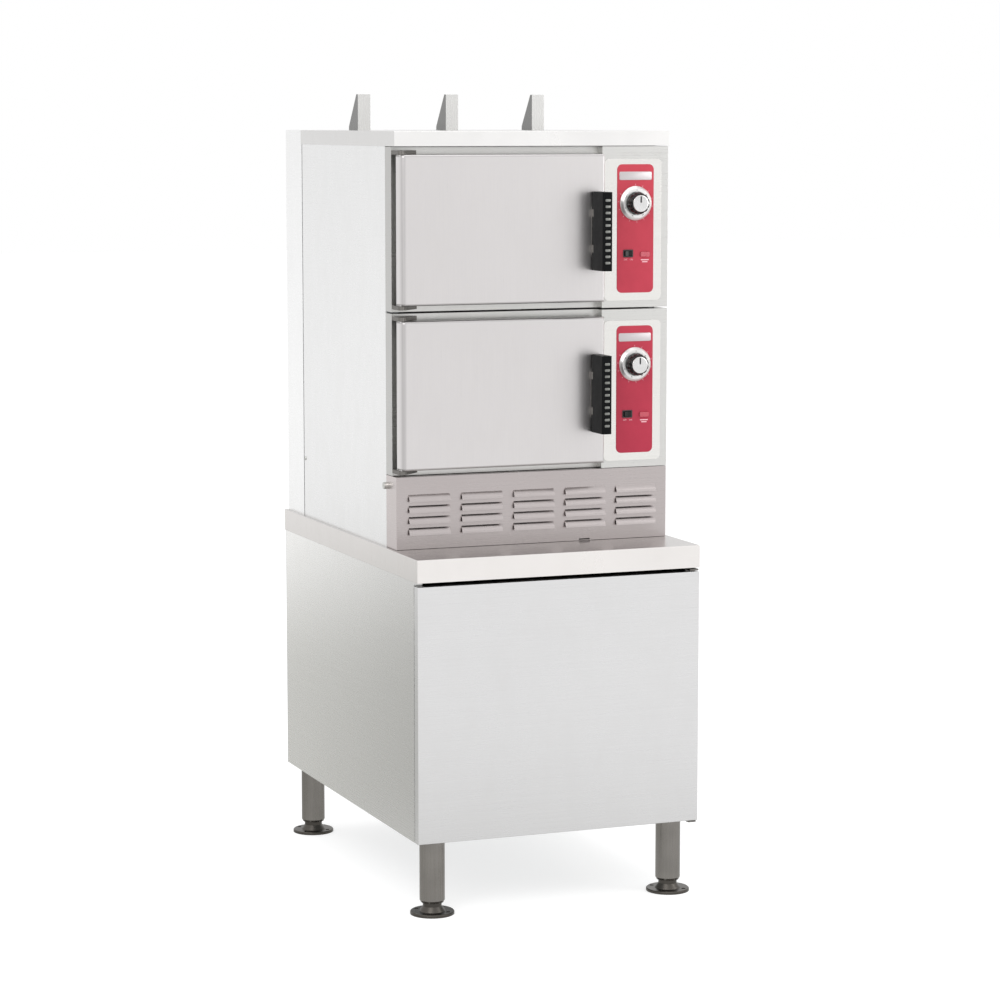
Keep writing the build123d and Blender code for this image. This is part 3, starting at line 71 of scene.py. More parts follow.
# In metres: front and back of the cabinet's side panels, the rounding that sheet edges seem to have,
# and foot and head of the red overlays.
PANEL_FRONT, PANEL_BACK = -0.43, 0.43
SHEET_EDGE = 0.0008
OVERLAY_FOOT, OVERLAY_HEAD = 0.9, 1.5


def set_stops(node, stops):
    """Gives a colour ramp its stops, each a place and a colour."""
    elements = node.color_ramp.elements
    while len(elements) < len(stops):
        elements.new(0.5)
    for element, (place, colour) in zip(elements, stops):
        element.position = place
        element.color = (*colour, 1)


class Nodes:
    """A material's node tree, with short ways to add what the finishes here use."""

    def __init__(self, name):
        self.mat = bpy.data.materials.new(name)
        self.mat.use_nodes = True
        self.tree = self.mat.node_tree
        self.shader = self.tree.nodes["Principled BSDF"]
        self.coord = self.tree.nodes.new("ShaderNodeTexCoord").outputs["Object"]

    def add(self, kind, **inputs):
        """A new node with its inputs set."""
        node = self.tree.nodes.new(kind)
        for key, value in inputs.items():
            node.inputs[key.replace("_", " ")].default_value = value
        return node

    def link(self, out, into):
        self.tree.links.new(out, into)

    def noise(self, scale, detail=4.0, stretch=(1, 1, 1), roughness=0.55):
        """Noise over the piece's own coordinates, drawn out along the axes with a small stretch."""
        mapping = self.add("ShaderNodeMapping", Scale=stretch)
        self.link(self.coord, mapping.inputs["Vector"])
        tex = self.add("ShaderNodeTexNoise", Scale=scale, Detail=detail, Roughness=roughness)
        self.link(mapping.outputs["Vector"], tex.inputs["Vector"])
        return tex.outputs["Fac"]

    def range(self, value, low, high, to_low, to_high):
        """A value taken from one range to another."""
        node = self.add("ShaderNodeMapRange")
        for key, number in (("From Min", low), ("From Max", high), ("To Min", to_low), ("To Max", to_high)):
            node.inputs[key].default_value = number
        self.link(value, node.inputs["Value"])
        return node.outputs["Result"]

    def ramp(self, value, *stops):
        """A colour picked by a value among stops."""
        node = self.tree.nodes.new("ShaderNodeValToRGB")
        set_stops(node, stops)
        self.link(value, node.inputs["Fac"])
        return node.outputs["Color"]

    def mix(self, fac, a, b, how="MIX"):
        """Two colours mixed, each given as a colour or as a node's output."""
        node = self.tree.nodes.new("ShaderNodeMix")
        node.data_type = "RGBA"
        node.blend_type = how
        for key, value in ((MIX_FACTOR, fac), (MIX_A, a), (MIX_B, b)):
            if hasattr(value, "links"):
                self.link(value, node.inputs[key])
            else:
                node.inputs[key].default_value = value if key == MIX_FACTOR else (*value, 1)
        return node.outputs[MIX_RESULT]

    def along(self, vector, axis):
        """The X, Y or Z of a vector."""
        parts = self.tree.nodes.new("ShaderNodeSeparateXYZ")
        self.link(vector, parts.inputs[0])
        return parts.outputs[axis]

    def facing(self, axis):
        """How far a face of the piece looks along X, Y or Z, either way, from 0 to 1."""
        size = self.tree.nodes.new("ShaderNodeMath")
        size.operation = "ABSOLUTE"
        self.link(self.along(self.coord.node.outputs["Normal"], axis), size.inputs[0])
        return size.outputs[0]

    def tone_by(self, tone, value, *stops):
        """The tone, made darker or lighter by a value that goes through grey stops."""
        greys = self.ramp(value, *((place, (grey, grey, grey)) for place, grey in stops))
        return self.mix(1.0, tone, greys, "MULTIPLY")

    def depth(self):
        """How far back a point lies in the cabinet, from 0 at its front to 1 at its back."""
        return self.range(self.along(self.coord, "Y"), PANEL_FRONT, PANEL_BACK, 0.0, 1.0)

    def colour(self, value):
        self.link(value, self.shader.inputs["Base Color"])

    def rough(self, value):
        self.link(value, self.shader.inputs["Roughness"])

    def relief(self, height, strength, distance, edge=0.0):
        """Relief from a height, over edges that look rounded by a small radius."""
        bump = self.add("ShaderNodeBump", Strength=strength, Distance=distance)
        self.link(height, bump.inputs["Height"])
        if edge:
            bevel = self.add("ShaderNodeBevel", Radius=edge)
            bevel.samples = 4
            self.link(bevel.outputs["Normal"], bump.inputs["Normal"])
        self.link(bump.outputs["Normal"], self.shader.inputs["Normal"])

    def set(self, **values):
        """Sets the shader's own sockets."""
        for key, value in values.items():
            self.shader.inputs[key.replace("_", " ")].default_value = value


def shade(base, factor):
    """A colour made darker or lighter."""
    return tuple(min(1.0, c * factor) for c in base)


def brushed(name, base, grain, rough, wear=0.04, relief=0.02, flank_painted_shading=1.0, top=1.0, painted_rim_shading=False,
            painted_depth_shading=None):
    """Brushed sheet: fine lines, slow cloudy tone, faint marks, and painted shading: faces looking sideways
    or up and down made darker or lighter, painted reflection bands on rounded door edges, and a painted shade
    that lightens towards the cabinet's back.
    """
    n = Nodes(name)
    lines = n.noise(4.0, 6.0, grain, 0.7)
    cloud = n.noise(2.2, 3.0)
    marks = n.noise(26.0, 5.0, (1, 1, 0.5), 0.62)
    tone = n.ramp(cloud, (0.30, shade(base, 1 - wear)), (0.72, shade(base, 1 + wear)))
    streak = n.ramp(lines, (0.30, (0.955, 0.955, 0.955)), (0.70, (1.0, 1.0, 1.0)))
    smudge = n.ramp(marks, (0.45, (1.0, 1.0, 1.0)), (0.80, (0.975, 0.973, 0.970)))
    # Painted shading: faces turned sideways or up and down take a darker or lighter tone by the given
    # factors, standing in for how light and reflections fall on them.
    for axis, factor in (("X", flank_painted_shading), ("Z", top)):
        if factor != 1.0:
            tone = n.tone_by(tone, n.facing(axis), (0.5, 1), (0.8, factor))
    # Painted reflection bands on the doors' rounded edges: darker on the curve, slightly lighter on the
    # sideways faces, and darker on faces that look up or down.
    if painted_rim_shading:
        tone = n.tone_by(tone, n.facing("X"), (0.05, 1), (0.30, 0.76), (0.66, 0.70), (0.95, 1.04))
        tone = n.tone_by(tone, n.facing("Z"), (0.05, 1), (0.30, 0.80))
    # Painted reflection shade: the tone grows lighter from the front of the cabinet towards its back.
    if painted_depth_shading:
        tone = n.tone_by(tone, n.depth(), (0.0, painted_depth_shading[0]), (1.0, painted_depth_shading[1]))
    n.colour(n.mix(0.8, n.mix(1.0, tone, streak, "MULTIPLY"), smudge, "MULTIPLY"))
    n.rough(n.range(n.mix(0.3, lines, marks), 0.3, 0.7, rough[0], rough[1]))
    n.relief(lines, relief, 0.0004, SHEET_EDGE)
    n.set(Metallic=1.0)
    return n.mat


def painted(name, base, rough=0.45, speckle=0.06, metallic=0.0, scale=420.0, bump=0.12, edge=0.0008, coat=0.0,
            gloss=0.5):
    """Paint or moulded plastic: fine orange peel, slow tone change and dusty patches."""
    n = Nodes(name)
    peel = n.noise(scale, 3.0)
    cloud = n.noise(6.0, 4.0)
    dust = n.noise(38.0, 6.0, (1, 1, 1), 0.7)
    tone = n.ramp(cloud, (0.3, shade(base, 1 - speckle)), (0.7, shade(base, 1 + speckle)))
    dusty = tuple(c + (0.30 - c) * 0.04 for c in base)
    n.colour(n.mix(n.range(dust, 0.55, 0.85, 0.0, 0.6), tone, dusty))
    n.rough(n.range(dust, 0.3, 0.8, max(0.03, rough - 0.07), min(1.0, rough + 0.12)))
    n.relief(peel, bump, 0.0003, edge)
    n.set(Metallic=metallic, Coat_Weight=coat, Coat_Roughness=0.12, Specular_IOR_Level=gloss)
    return n.mat


def cast(name, base, rough=0.6, metallic=0.6, scale=160.0, rust=None):
    """Cast or black pipe metal: pitted skin, with a little rust bloom where one is given."""
    n = Nodes(name)
    pits = n.noise(scale, 6.0, (1, 1, 1), 0.7)
    cloud = n.noise(12.0, 4.0)
    tone = n.ramp(cloud, (0.3, shade(base, 0.8)), (0.72, shade(base, 1.25)))
    if rust:
        tone = n.mix(n.range(n.noise(30.0, 6.0, (1, 1, 1), 0.75), 0.56, 0.72, 0.0, 0.7), tone, rust)
    n.colour(tone)
    n.rough(n.range(pits, 0.3, 0.7, rough - 0.1, rough + 0.15))
    n.relief(pits, 0.35, 0.0006, 0.0006)
    n.set(Metallic=metallic)
    return n.mat


def turned_metal(name, base, rough=(0.22, 0.36), rings=(220, 220, 2)):
    """Drawn or turned tube: lines along or round the tube, with soft heat tone."""
    n = Nodes(name)
    lines = n.noise(3.0, 5.0, rings, 0.7)
    cloud = n.noise(14.0, 3.0)
    n.colour(n.mix(0.9, n.ramp(cloud, (0.3, shade(base, 0.88)), (0.7, shade(base, 1.06))),
                   n.ramp(lines, (0.3, (0.90, 0.90, 0.89)), (0.7, (1, 1, 1))), "MULTIPLY"))
    n.rough(n.range(lines, 0.3, 0.7, rough[0], rough[1]))
    n.relief(lines, 0.06, 0.0003, 0.0006)
    n.set(Metallic=1.0)
    return n.mat


def overlay_print(name):
    """Red polycarbonate overlay, slightly lighter towards its top, over a very fine texture."""
    n = Nodes(name)
    height = n.range(n.along(n.coord, "Z"), OVERLAY_FOOT, OVERLAY_HEAD, 0.0, 1.0)
    base = n.ramp(height, (0.0, (0.40, 0.036, 0.066)), (1.0, (0.50, 0.058, 0.082)))
    fleck = n.ramp(n.noise(30.0, 5.0), (0.35, (0.93, 0.93, 0.93)), (0.7, (1, 1, 1)))
    n.colour(n.mix(1.0, base, fleck, "MULTIPLY"))
    n.rough(n.range(n.noise(1400.0, 2.0), 0.3, 0.7, 0.30, 0.46))
    n.relief(n.noise(1400.0, 2.0), 0.10, 0.0002, 0.0004)
    n.set(Specular_IOR_Level=0.14)
    return n.mat


def lens(name, base):
    """Moulded lamp lens with fine prisms under a clear skin."""
    n = Nodes(name)
    waves = n.add("ShaderNodeTexWave", Scale=240.0, Distortion=0.4)
    n.link(n.coord, waves.inputs["Vector"])
    n.colour(n.ramp(waves.outputs["Fac"], (0.2, shade(base, 0.7)), (0.9, shade(base, 1.15))))
    n.rough(n.range(n.noise(60.0), 0.3, 0.7, 0.10, 0.22))
    n.relief(waves.outputs["Fac"], 0.3, 0.0004, 0.0004)
    n.set(Coat_Weight=0.7, Coat_Roughness=0.05)
    return n.mat


# Stretch of the brushing lines: level on a wall, upright, and from side to side on a top.
WALL = (1.5, 1.5, 260)
UPRIGHT = (260, 1.5, 1.5)
FLOORWISE = (1.5, 260, 1.5)
# Several sheets below carry painted shading in the factors given for sideways and up-and-down faces, for the
# door edges and along the cabinet's depth.
MATS = {
    "door": brushed("steel_doors", (0.720, 0.697, 0.695), UPRIGHT, (0.26, 0.38), wear=0.025, painted_rim_shading=True),
    "base_door": brushed("steel_base_door", (0.775, 0.772, 0.775), WALL, (0.24, 0.34), wear=0.010,
                         relief=0.01),
    "side": brushed("steel_sides", (0.885, 0.885, 0.885), WALL, (0.24, 0.34), wear=0.008, relief=0.008),
    "housing": brushed("steel_housing", (0.90, 0.90, 0.90), WALL, (0.24, 0.34), wear=0.015, relief=0.01,
                       flank_painted_shading=1.085, top=0.80),
    "base_side": brushed("steel_base_sides", (0.98, 0.975, 0.96), WALL, (0.22, 0.32), wear=0.010,
                         relief=0.008, painted_depth_shading=(0.76, 1.02)),
    "frame": brushed("steel_frames", (0.690, 0.685, 0.668), WALL, (0.24, 0.36), wear=0.03, flank_painted_shading=0.80),
    "cap": brushed("steel_top_cap", (0.950, 0.940, 0.930), FLOORWISE, (0.20, 0.30), wear=0.02,
                   flank_painted_shading=0.80, top=0.76),
    "base_cap": brushed("steel_cabinet_top", (0.900, 0.870, 0.850), FLOORWISE, (0.20, 0.30), wear=0.02,
                        flank_painted_shading=0.86, top=0.70),
    "louvre": brushed("steel_louvres", (0.520, 0.475, 0.470), WALL, (0.24, 0.34), wear=0.03, flank_painted_shading=1.2),
    "inner": brushed("steel_chambers", (0.56, 0.56, 0.55), FLOORWISE, (0.26, 0.42), wear=0.10),
    "panel": brushed("steel_control_panels", (0.850, 0.838, 0.812), WALL, (0.20, 0.30), wear=0.02),
    "plate": brushed("satin_plate", (0.62, 0.58, 0.59), WALL, (0.34, 0.46), wear=0.05),
    "bracket": brushed("steel_brackets", (0.76, 0.755, 0.74), UPRIGHT, (0.22, 0.32), wear=0.06, flank_painted_shading=0.28),
    "galvanized": cast("galvanized_sheet", (0.52, 0.54, 0.55), 0.42, 0.9, 34.0),
    "leg": turned_metal("satin_tube", (0.29, 0.275, 0.258)),
    "foot": turned_metal("turned_feet", (0.105, 0.097, 0.088), (0.26, 0.42), (2, 2, 260)),
    "hinge": turned_metal("hinge_steel", (0.20, 0.19, 0.18), (0.34, 0.5)),
    "screw": turned_metal("screw_heads", (0.60, 0.60, 0.58)),
    "boiler": painted("boiler_paint", (0.12, 0.125, 0.135), 0.5, 0.1),
    "iron": cast("black_pipe", (0.035, 0.034, 0.033), 0.55, 0.5, 240.0, (0.13, 0.055, 0.028)),
    "alloy": cast("valve_casting", (0.50, 0.50, 0.52), 0.42, 0.9, 220.0),
    "copper": turned_metal("copper_tube", (0.62, 0.31, 0.19), (0.24, 0.42)),
    "brass": turned_metal("brass_fittings", (0.66, 0.48, 0.20), (0.22, 0.38)),
    "black": painted("black_grip", (0.004, 0.0045, 0.005), 0.42, 0.15, 0.0, 900.0, 0.25, 0.0014, 0.0, 0.08),
    "gloss_black": painted("gloss_black", (0.006, 0.006, 0.006), 0.18, 0.1, 0.0, 900.0, 0.05, 0.0005, 0.0,
                           0.35),
    "switch": painted("switch_bodies", (0.03, 0.03, 0.032), 0.4),
    "red_lever": painted("dipped_lever", (0.42, 0.02, 0.018), 0.35, 0.08, 0.0, 300.0, 0.2, 0.001, 0.3),
    "catch": painted("magnet_catch", (0.66, 0.65, 0.62), 0.4),
    "gasket": painted("silicone_gasket", (0.30, 0.295, 0.285), 0.6, 0.12, 0.0, 700.0, 0.2, 0.001),
    "overlay": overlay_print("red_overlay"),
    "lamp": lens("red_lens", (0.50, 0.055, 0.085)),
    "ink": painted("pale_ink", (0.74, 0.42, 0.46), 0.5, 0.03, 0.0, 900.0, 0.05, 0.0),
    "dark_ink": painted("dark_ink", (0.02, 0.02, 0.022), 0.5, 0.05, 0.0, 900.0, 0.05, 0.0),
    "skirt": turned_metal("dial_skirt", (0.90, 0.89, 0.885), (0.30, 0.42), (2, 700, 2)),
    "rib": brushed("grip_ribs", (0.27, 0.275, 0.26), UPRIGHT, (0.3, 0.45), wear=0.3),
    "knob_cap": turned_metal("knob_cap", (0.86, 0.86, 0.86), (0.16, 0.28), (2, 700, 2)),
}

# The finish of each CAD node, by its whole name or by its ending.
FINISH = {
    "cabinet_base": "galvanized", "cabinet_left_panel": "base_side", "cabinet_right_panel": "base_side",
    "cabinet_back_panel": "galvanized", "cabinet_top": "base_cap", "cabinet_door": "base_door",
    "cabinet_door_pivots": "hinge", "cabinet_door_catch": "catch", "boiler": "boiler", "burners": "iron",
    "gas_piping": "iron", "gas_valve": "alloy", "gas_valve_knob": "black", "drain_line": "copper",
    "blowdown_lever": "red_lever", "water_fill_line": "brass", "level_probe": "brass", "steam_line": "copper",
    "flue_duct": "galvanized", "steamer_chassis": "galvanized", "steamer_left_panel": "side",
    "steamer_right_panel": "side", "top_cap": "cap", "rear_housing": "housing", "louvre_panel": "louvre",
    "pan_racks": "inner", "control_panels": "panel", "control_overlays": "overlay",
    "control_switchgear": "switch", "indicator_lamps": "lamp", "top_brackets": "bracket",
    "panel_screws": "screw", "door_hinges": "hinge", "door_strikers": "screw",
}
ENDINGS = (("front_frame", "frame"), ("_chamber", "inner"), ("timer_knob", "gloss_black"),
           ("_rocker", "gloss_black"), ("door_shell", "door"), ("door_liner", "inner"),
           ("door_gasket", "gasket"), ("handle_mount", "hinge"), ("door_handle", "black"))


def finish_of(name):
    """The finish key of a CAD node."""
    if name in FINISH:
        return FINISH[name]
    if name.startswith("leg_"):
        return "leg"
    if name.startswith("foot_"):
        return "foot"
    return next(key for ending, key in ENDINGS if name.endswith(ending))


def meshes_under(obj):
    """The object and its children that hold a mesh."""
    return [o for o in (obj, *obj.children_recursive) if o.type == "MESH"]


for name, node in NODES.items():
    for part in meshes_under(node):
        for slot in part.material_slots:
            slot.link = "OBJECT"
            slot.material = MATS[finish_of(name)]


# ---------------------------------------------------------------- shapes

SMOOTH_ANGLE = math.radians(30)
LETTER_DEPTH = 0.0001
CORNER_STEPS, EDGE_STEPS = 5, 2
SAME_PLACE = 1e-6


def start_clean():
    """Leaves edit mode and deselects everything, so that an operator acts on the next piece alone."""
    if bpy.context.mode != "OBJECT":
        bpy.ops.object.mode_set(mode="OBJECT")
    bpy.ops.object.select_all(action="DESELECT")


def settle():
    """Leaves edit mode and puts the active object's place, turn and scale into its mesh."""
    if bpy.context.mode != "OBJECT":
        bpy.ops.object.mode_set(mode="OBJECT")
    bpy.ops.object.transform_apply(location=True, rotation=True, scale=True)
    return bpy.context.active_object


def finish_piece(name, finish, body):
    """Gives the active object its name and finish, and lets it ride on a CAD body."""
    obj = settle()
    obj.name = name
    obj.data.name = name
    obj.data.materials.clear()
    obj.data.materials.append(MATS[finish])
    bpy.ops.object.shade_smooth_by_angle(angle=SMOOTH_ANGLE)
    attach(obj, body)
    start_clean()
    return obj


def pick(kind, test):
    """Selects the vertices or edges of the active mesh whose end points pass a test."""
    bpy.ops.object.mode_set(mode="EDIT")
    bpy.ops.mesh.select_mode(type=kind)
    bpy.ops.mesh.select_all(action="DESELECT")
    bpy.ops.object.mode_set(mode="OBJECT")
    mesh = bpy.context.active_object.data
    if kind == "VERT":
        for vertex in mesh.vertices:
            vertex.select = test(vertex.co)
    else:
        for edge in mesh.edges:
            edge.select = test(*(mesh.vertices[k].co for k in edge.vertices))
    bpy.ops.object.mode_set(mode="EDIT")


def draw_turned(centre, profile, sides=96):
    """Turned piece about a line along Y: a disc at its back, extruded and scaled from ring to ring.

    Each ring of the profile is a place along Y and a radius.
    """
    start_clean()
    y, radius = profile[0]
    bpy.ops.mesh.primitive_circle_add(vertices=sides, radius=radius, fill_type="NGON",
                                      location=(centre[0], y, centre[1]), rotation=(math.pi / 2, 0, 0))
    settle()
    bpy.ops.object.mode_set(mode="EDIT")
    bpy.ops.mesh.select_all(action="SELECT")
    for next_y, next_radius in profile[1:]:
        bpy.ops.mesh.extrude_region_move(TRANSFORM_OT_translate={"value": (0, next_y - y, 0)})
        factor = next_radius / radius
        bpy.ops.transform.resize(value=(factor, 1, factor), center_override=(centre[0], next_y, centre[1]))
        y, radius = next_y, next_radius
    bpy.ops.mesh.select_all(action="SELECT")
    bpy.ops.mesh.normals_make_consistent(inside=False)
    bpy.ops.object.mode_set(mode="OBJECT")


def press_flutes(centre, front, back, count, reach, factor):
    """Presses grip flutes into a turned piece: the rings' points near each flute move towards the axis."""
    def in_flute(co):
        angle = math.atan2(co.z - centre[1], co.x - centre[0]) * count / (2 * math.pi)
        return front < co.y < back and abs(angle - round(angle)) < reach
    pick("VERT", in_flute)
    bpy.ops.transform.resize(value=(factor, 1, factor), center_override=(centre[0], 0, centre[1]))
    bpy.ops.object.mode_set(mode="OBJECT")


def draw_plate(x0, x1, z0, z1, front, back, corner, edge=0.0003):
    """Plate that faces the front: a block with rounded corners and a softened front edge."""
    start_clean()
    bpy.ops.mesh.primitive_cube_add(size=1, location=((x0 + x1) / 2, (front + back) / 2, (z0 + z1) / 2),
                                    scale=(x1 - x0, back - front, z1 - z0))
    settle()
    pick("EDGE", lambda a, b: abs(a.x - b.x) < SAME_PLACE and abs(a.z - b.z) < SAME_PLACE)
    bpy.ops.mesh.bevel(offset=corner, segments=CORNER_STEPS, affect="EDGES")
    if edge:
        pick("EDGE", lambda a, b: abs(a.y - front) < SAME_PLACE and abs(b.y - front) < SAME_PLACE)
        bpy.ops.mesh.bevel(offset=edge, segments=EDGE_STEPS, affect="EDGES")
    bpy.ops.object.mode_set(mode="OBJECT")


def copies(places):
    """Copies the active object to each offset or turn given as a matrix, and joins them all."""
    first = bpy.context.active_object
    made = [first]
    for place in places:
        start_clean()
        first.select_set(True)
        bpy.context.view_layer.objects.active = first
        bpy.ops.object.duplicate()
        twin = bpy.context.active_object
        twin.matrix_world = place
        made.append(twin)
    for obj in made:
        obj.select_set(True)
    for obj in made:
        bpy.context.view_layer.objects.active = obj
        bpy.ops.object.transform_apply(location=True, rotation=True, scale=True)
    bpy.context.view_layer.objects.active = first
    bpy.ops.object.join()


def label(text, name, x, z, size, y, body, finish="ink", turn=0.0):
    """Generic lettering as a thin raised mesh that faces the front."""
    start_clean()
    bpy.ops.object.text_add(location=(x, y, z), rotation=(math.pi / 2, -turn, 0))
    letters = bpy.context.active_object.data
    letters.body = text
    letters.size = size
    letters.align_x = "CENTER"
    letters.align_y = "CENTER"
    letters.extrude = LETTER_DEPTH
    letters.resolution_u = 3
    bpy.ops.object.convert(target="MESH")
    return finish_piece(name, finish, body)


def centre_of(node):
    """The middle of a CAD node's box."""
    low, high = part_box(node)
    return [(a + b) / 2 for a, b in zip(low, high)]


# ---------------------------------------------------------------- controls

# The front of the overlays and the front of the thin prints on them, along Y.
OVERLAY_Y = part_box("control_overlays")[0][1]
PRINT_Y = OVERLAY_Y - 0.0001
# A storey's dial and its black grip; a flute's reach is a share of the step between flutes.
DIAL_RADIUS = 0.035
GRIP_RADIUS = 0.0232
GRIP_SIDES = 144
FLUTE_COUNT = 12
FLUTE_PRESSES = ((0.22, 0.975), (0.12, 0.965))
# Ticks outside the dial, from its rim, and minutes on it, from its middle.
TICK_COUNT = 13
TICK_STEP = math.radians(25)
TICK_START, TICK_END, TICK_HALF = 0.0008, 0.0042, 0.0004
MINUTES = ("0", "10", "20", "30", "40", "50", "60")
MINUTES_RADIUS = 0.0268
MINUTES_SIZE = 0.0036
# Switch lettering, and the lamp's bars and the bare plate, from the dial's middle.
SWITCH_TEXT_SIZE = 0.0044
LAMP_OFFSET = 0.0215
BAR_HALF = 0.0011
PLATE_HALF, PLATE_LOW, PLATE_HIGH = 0.036, 0.0470, 0.0640
# Ribs down the face of a door handle.
RIB_COUNT = 11
RIB_PITCH = 0.0125
RIB_LEFT, RIB_RIGHT, RIB_HALF = 0.1186, 0.1300, 0.0028


def dial_and_knob(storey, body):
    """Minute timer: bright skirt with printed minutes, fluted black grip, bright cap and pointer."""
    low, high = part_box(f"{storey}_timer_knob")
    x, _, z = centre_of(f"{storey}_timer_knob")
    rear, nose = high[1], low[1]
    draw_turned((x, z), [(rear, 0.0344), (rear - 0.0004, DIAL_RADIUS), (rear - 0.0020, DIAL_RADIUS),
                         (rear - 0.0024, 0.0347), (rear - 0.0062, 0.0306), (rear - 0.0069, 0.0296),
                         (rear - 0.0070, 0.0240), (rear - 0.0066, 0.0236), (rear - 0.0066, 0.010)])
    finish_piece(f"{storey}_dial_skirt", "skirt", body)
    draw_turned((x, z), [(rear - 0.0064, 0.0230), (rear - 0.0072, 0.0234), (rear - 0.0085, GRIP_RADIUS),
                         (nose + 0.0060, 0.0214), (nose + 0.0045, 0.0206), (nose + 0.0034, 0.0194),
                         (nose + 0.0028, 0.0180), (nose + 0.0030, 0.0100)], GRIP_SIDES)
    for reach, factor in FLUTE_PRESSES:
        press_flutes((x, z), nose + 0.0032, rear - 0.0068, FLUTE_COUNT, reach, factor)
    grip = finish_piece(f"{storey}_knob_grip", "gloss_black", body)
    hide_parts(f"{storey}_timer_knob")
    draw_turned((x, z), [(nose + 0.0032, 0.0170), (nose + 0.0012, 0.0170), (nose + 0.0005, 0.0166),
                         (nose + 0.0001, 0.0158), (nose, 0.0145), (nose + 0.0002, 0.0060),
                         (nose + 0.0003, 0.0010)])
    finish_piece(f"{storey}_knob_cap", "knob_cap", body)
    draw_plate(x - 0.0016, x + 0.0016, z + 0.0015, z + 0.0150, nose - 0.0001, nose + 0.0010, 0.0015, 0)
    finish_piece(f"{storey}_knob_pointer", "dark_ink", body)
    for k, minutes in enumerate(MINUTES):
        angle = math.pi / 2 - 2 * TICK_STEP * k
        label(minutes, f"{storey}_dial_mark_{minutes}", x + MINUTES_RADIUS * math.cos(angle),
              z + MINUTES_RADIUS * math.sin(angle), MINUTES_SIZE, rear - 0.0071, body, "dark_ink",
              angle - math.pi / 2)
    return x, z


def overlay_marks(storey, x, z):
    """Prints on the overlay: ticks round the dial, ON and OFF, two bars below the lamp, and a bare plate."""
    draw_plate(x - TICK_HALF, x + TICK_HALF, z + DIAL_RADIUS + TICK_START, z + DIAL_RADIUS + TICK_END,
               PRINT_Y, OVERLAY_Y, 0.0003, 0)
    axis = Matrix.Translation((x, 0, z))
    copies([axis @ Matrix.Rotation(TICK_STEP * k, 4, "Y") @ axis.inverted() for k in range(1, TICK_COUNT)])
    finish_piece(f"{storey}_dial_ticks", "ink", "root")
    rocker_x, _, rocker_z = centre_of(f"{storey}_rocker")
    for text, shift in (("OFF", -0.0060), ("ON", 0.0070)):
        label(text, f"{storey}_mark_{text.lower()}", rocker_x + shift, rocker_z - 0.0125, SWITCH_TEXT_SIZE,
              OVERLAY_Y, "root")
    lamp_x = x + LAMP_OFFSET
    for name, half, drop in (("lamp_bar", 0.009, 0.0132), ("lamp_dash", 0.006, 0.0173)):
        draw_plate(lamp_x - half, lamp_x + half, rocker_z - drop - BAR_HALF, rocker_z - drop + BAR_HALF,
                   PRINT_Y, OVERLAY_Y + 0.0001, 0.0010, 0)
        finish_piece(f"{storey}_{name}", "ink", "root")
    draw_plate(x - PLATE_HALF, x + PLATE_HALF, z + PLATE_LOW, z + PLATE_HIGH, OVERLAY_Y - 0.0006,
               OVERLAY_Y + 0.0001, 0.003)
    finish_piece(f"{storey}_bare_plate", "plate", "root")


def grip_ribs(storey):
    """Row of soft ribs down the face of a door handle."""
    low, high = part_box(f"{storey}_door_handle")
    middle = (low[2] + high[2]) / 2
    foot = middle - (RIB_COUNT // 2) * RIB_PITCH
    draw_plate(RIB_LEFT, RIB_RIGHT, foot - RIB_HALF, foot + RIB_HALF, low[1] - 0.0004, low[1] + 0.0012,
               0.0018, 0.0011)
    copies([Matrix.Translation((0, 0, RIB_PITCH * k)) for k in range(1, RIB_COUNT)])
    finish_piece(f"{storey}_grip_ribs", "rib", f"{storey}_handle_body")


for storey in ("lower", "upper"):
    dial_x, dial_z = dial_and_knob(storey, f"{storey}_knob_body")
    overlay_marks(storey, dial_x, dial_z)
    grip_ribs(storey)


# ---------------------------------------------------------------- studio

# Lengths in metres, lens and sensor in millimetres.
FLOOR_HALF = 30
FLOOR_DROP = 0.0005
SHADE_CENTRE = (-1.0, 1.6, 0)
GLOW_STRENGTH = 0.62
STEAMER_MIDDLE = (0, 0, 0.9)
CAMERA_PLACE = (-2.3261, -6.0428, 1.5797)
CAMERA_TURN = (math.radians(82.936), 0, math.radians(-21.419))
CAMERA_LENS, CAMERA_SENSOR, CAMERA_REACH = 110.4, 36, 100


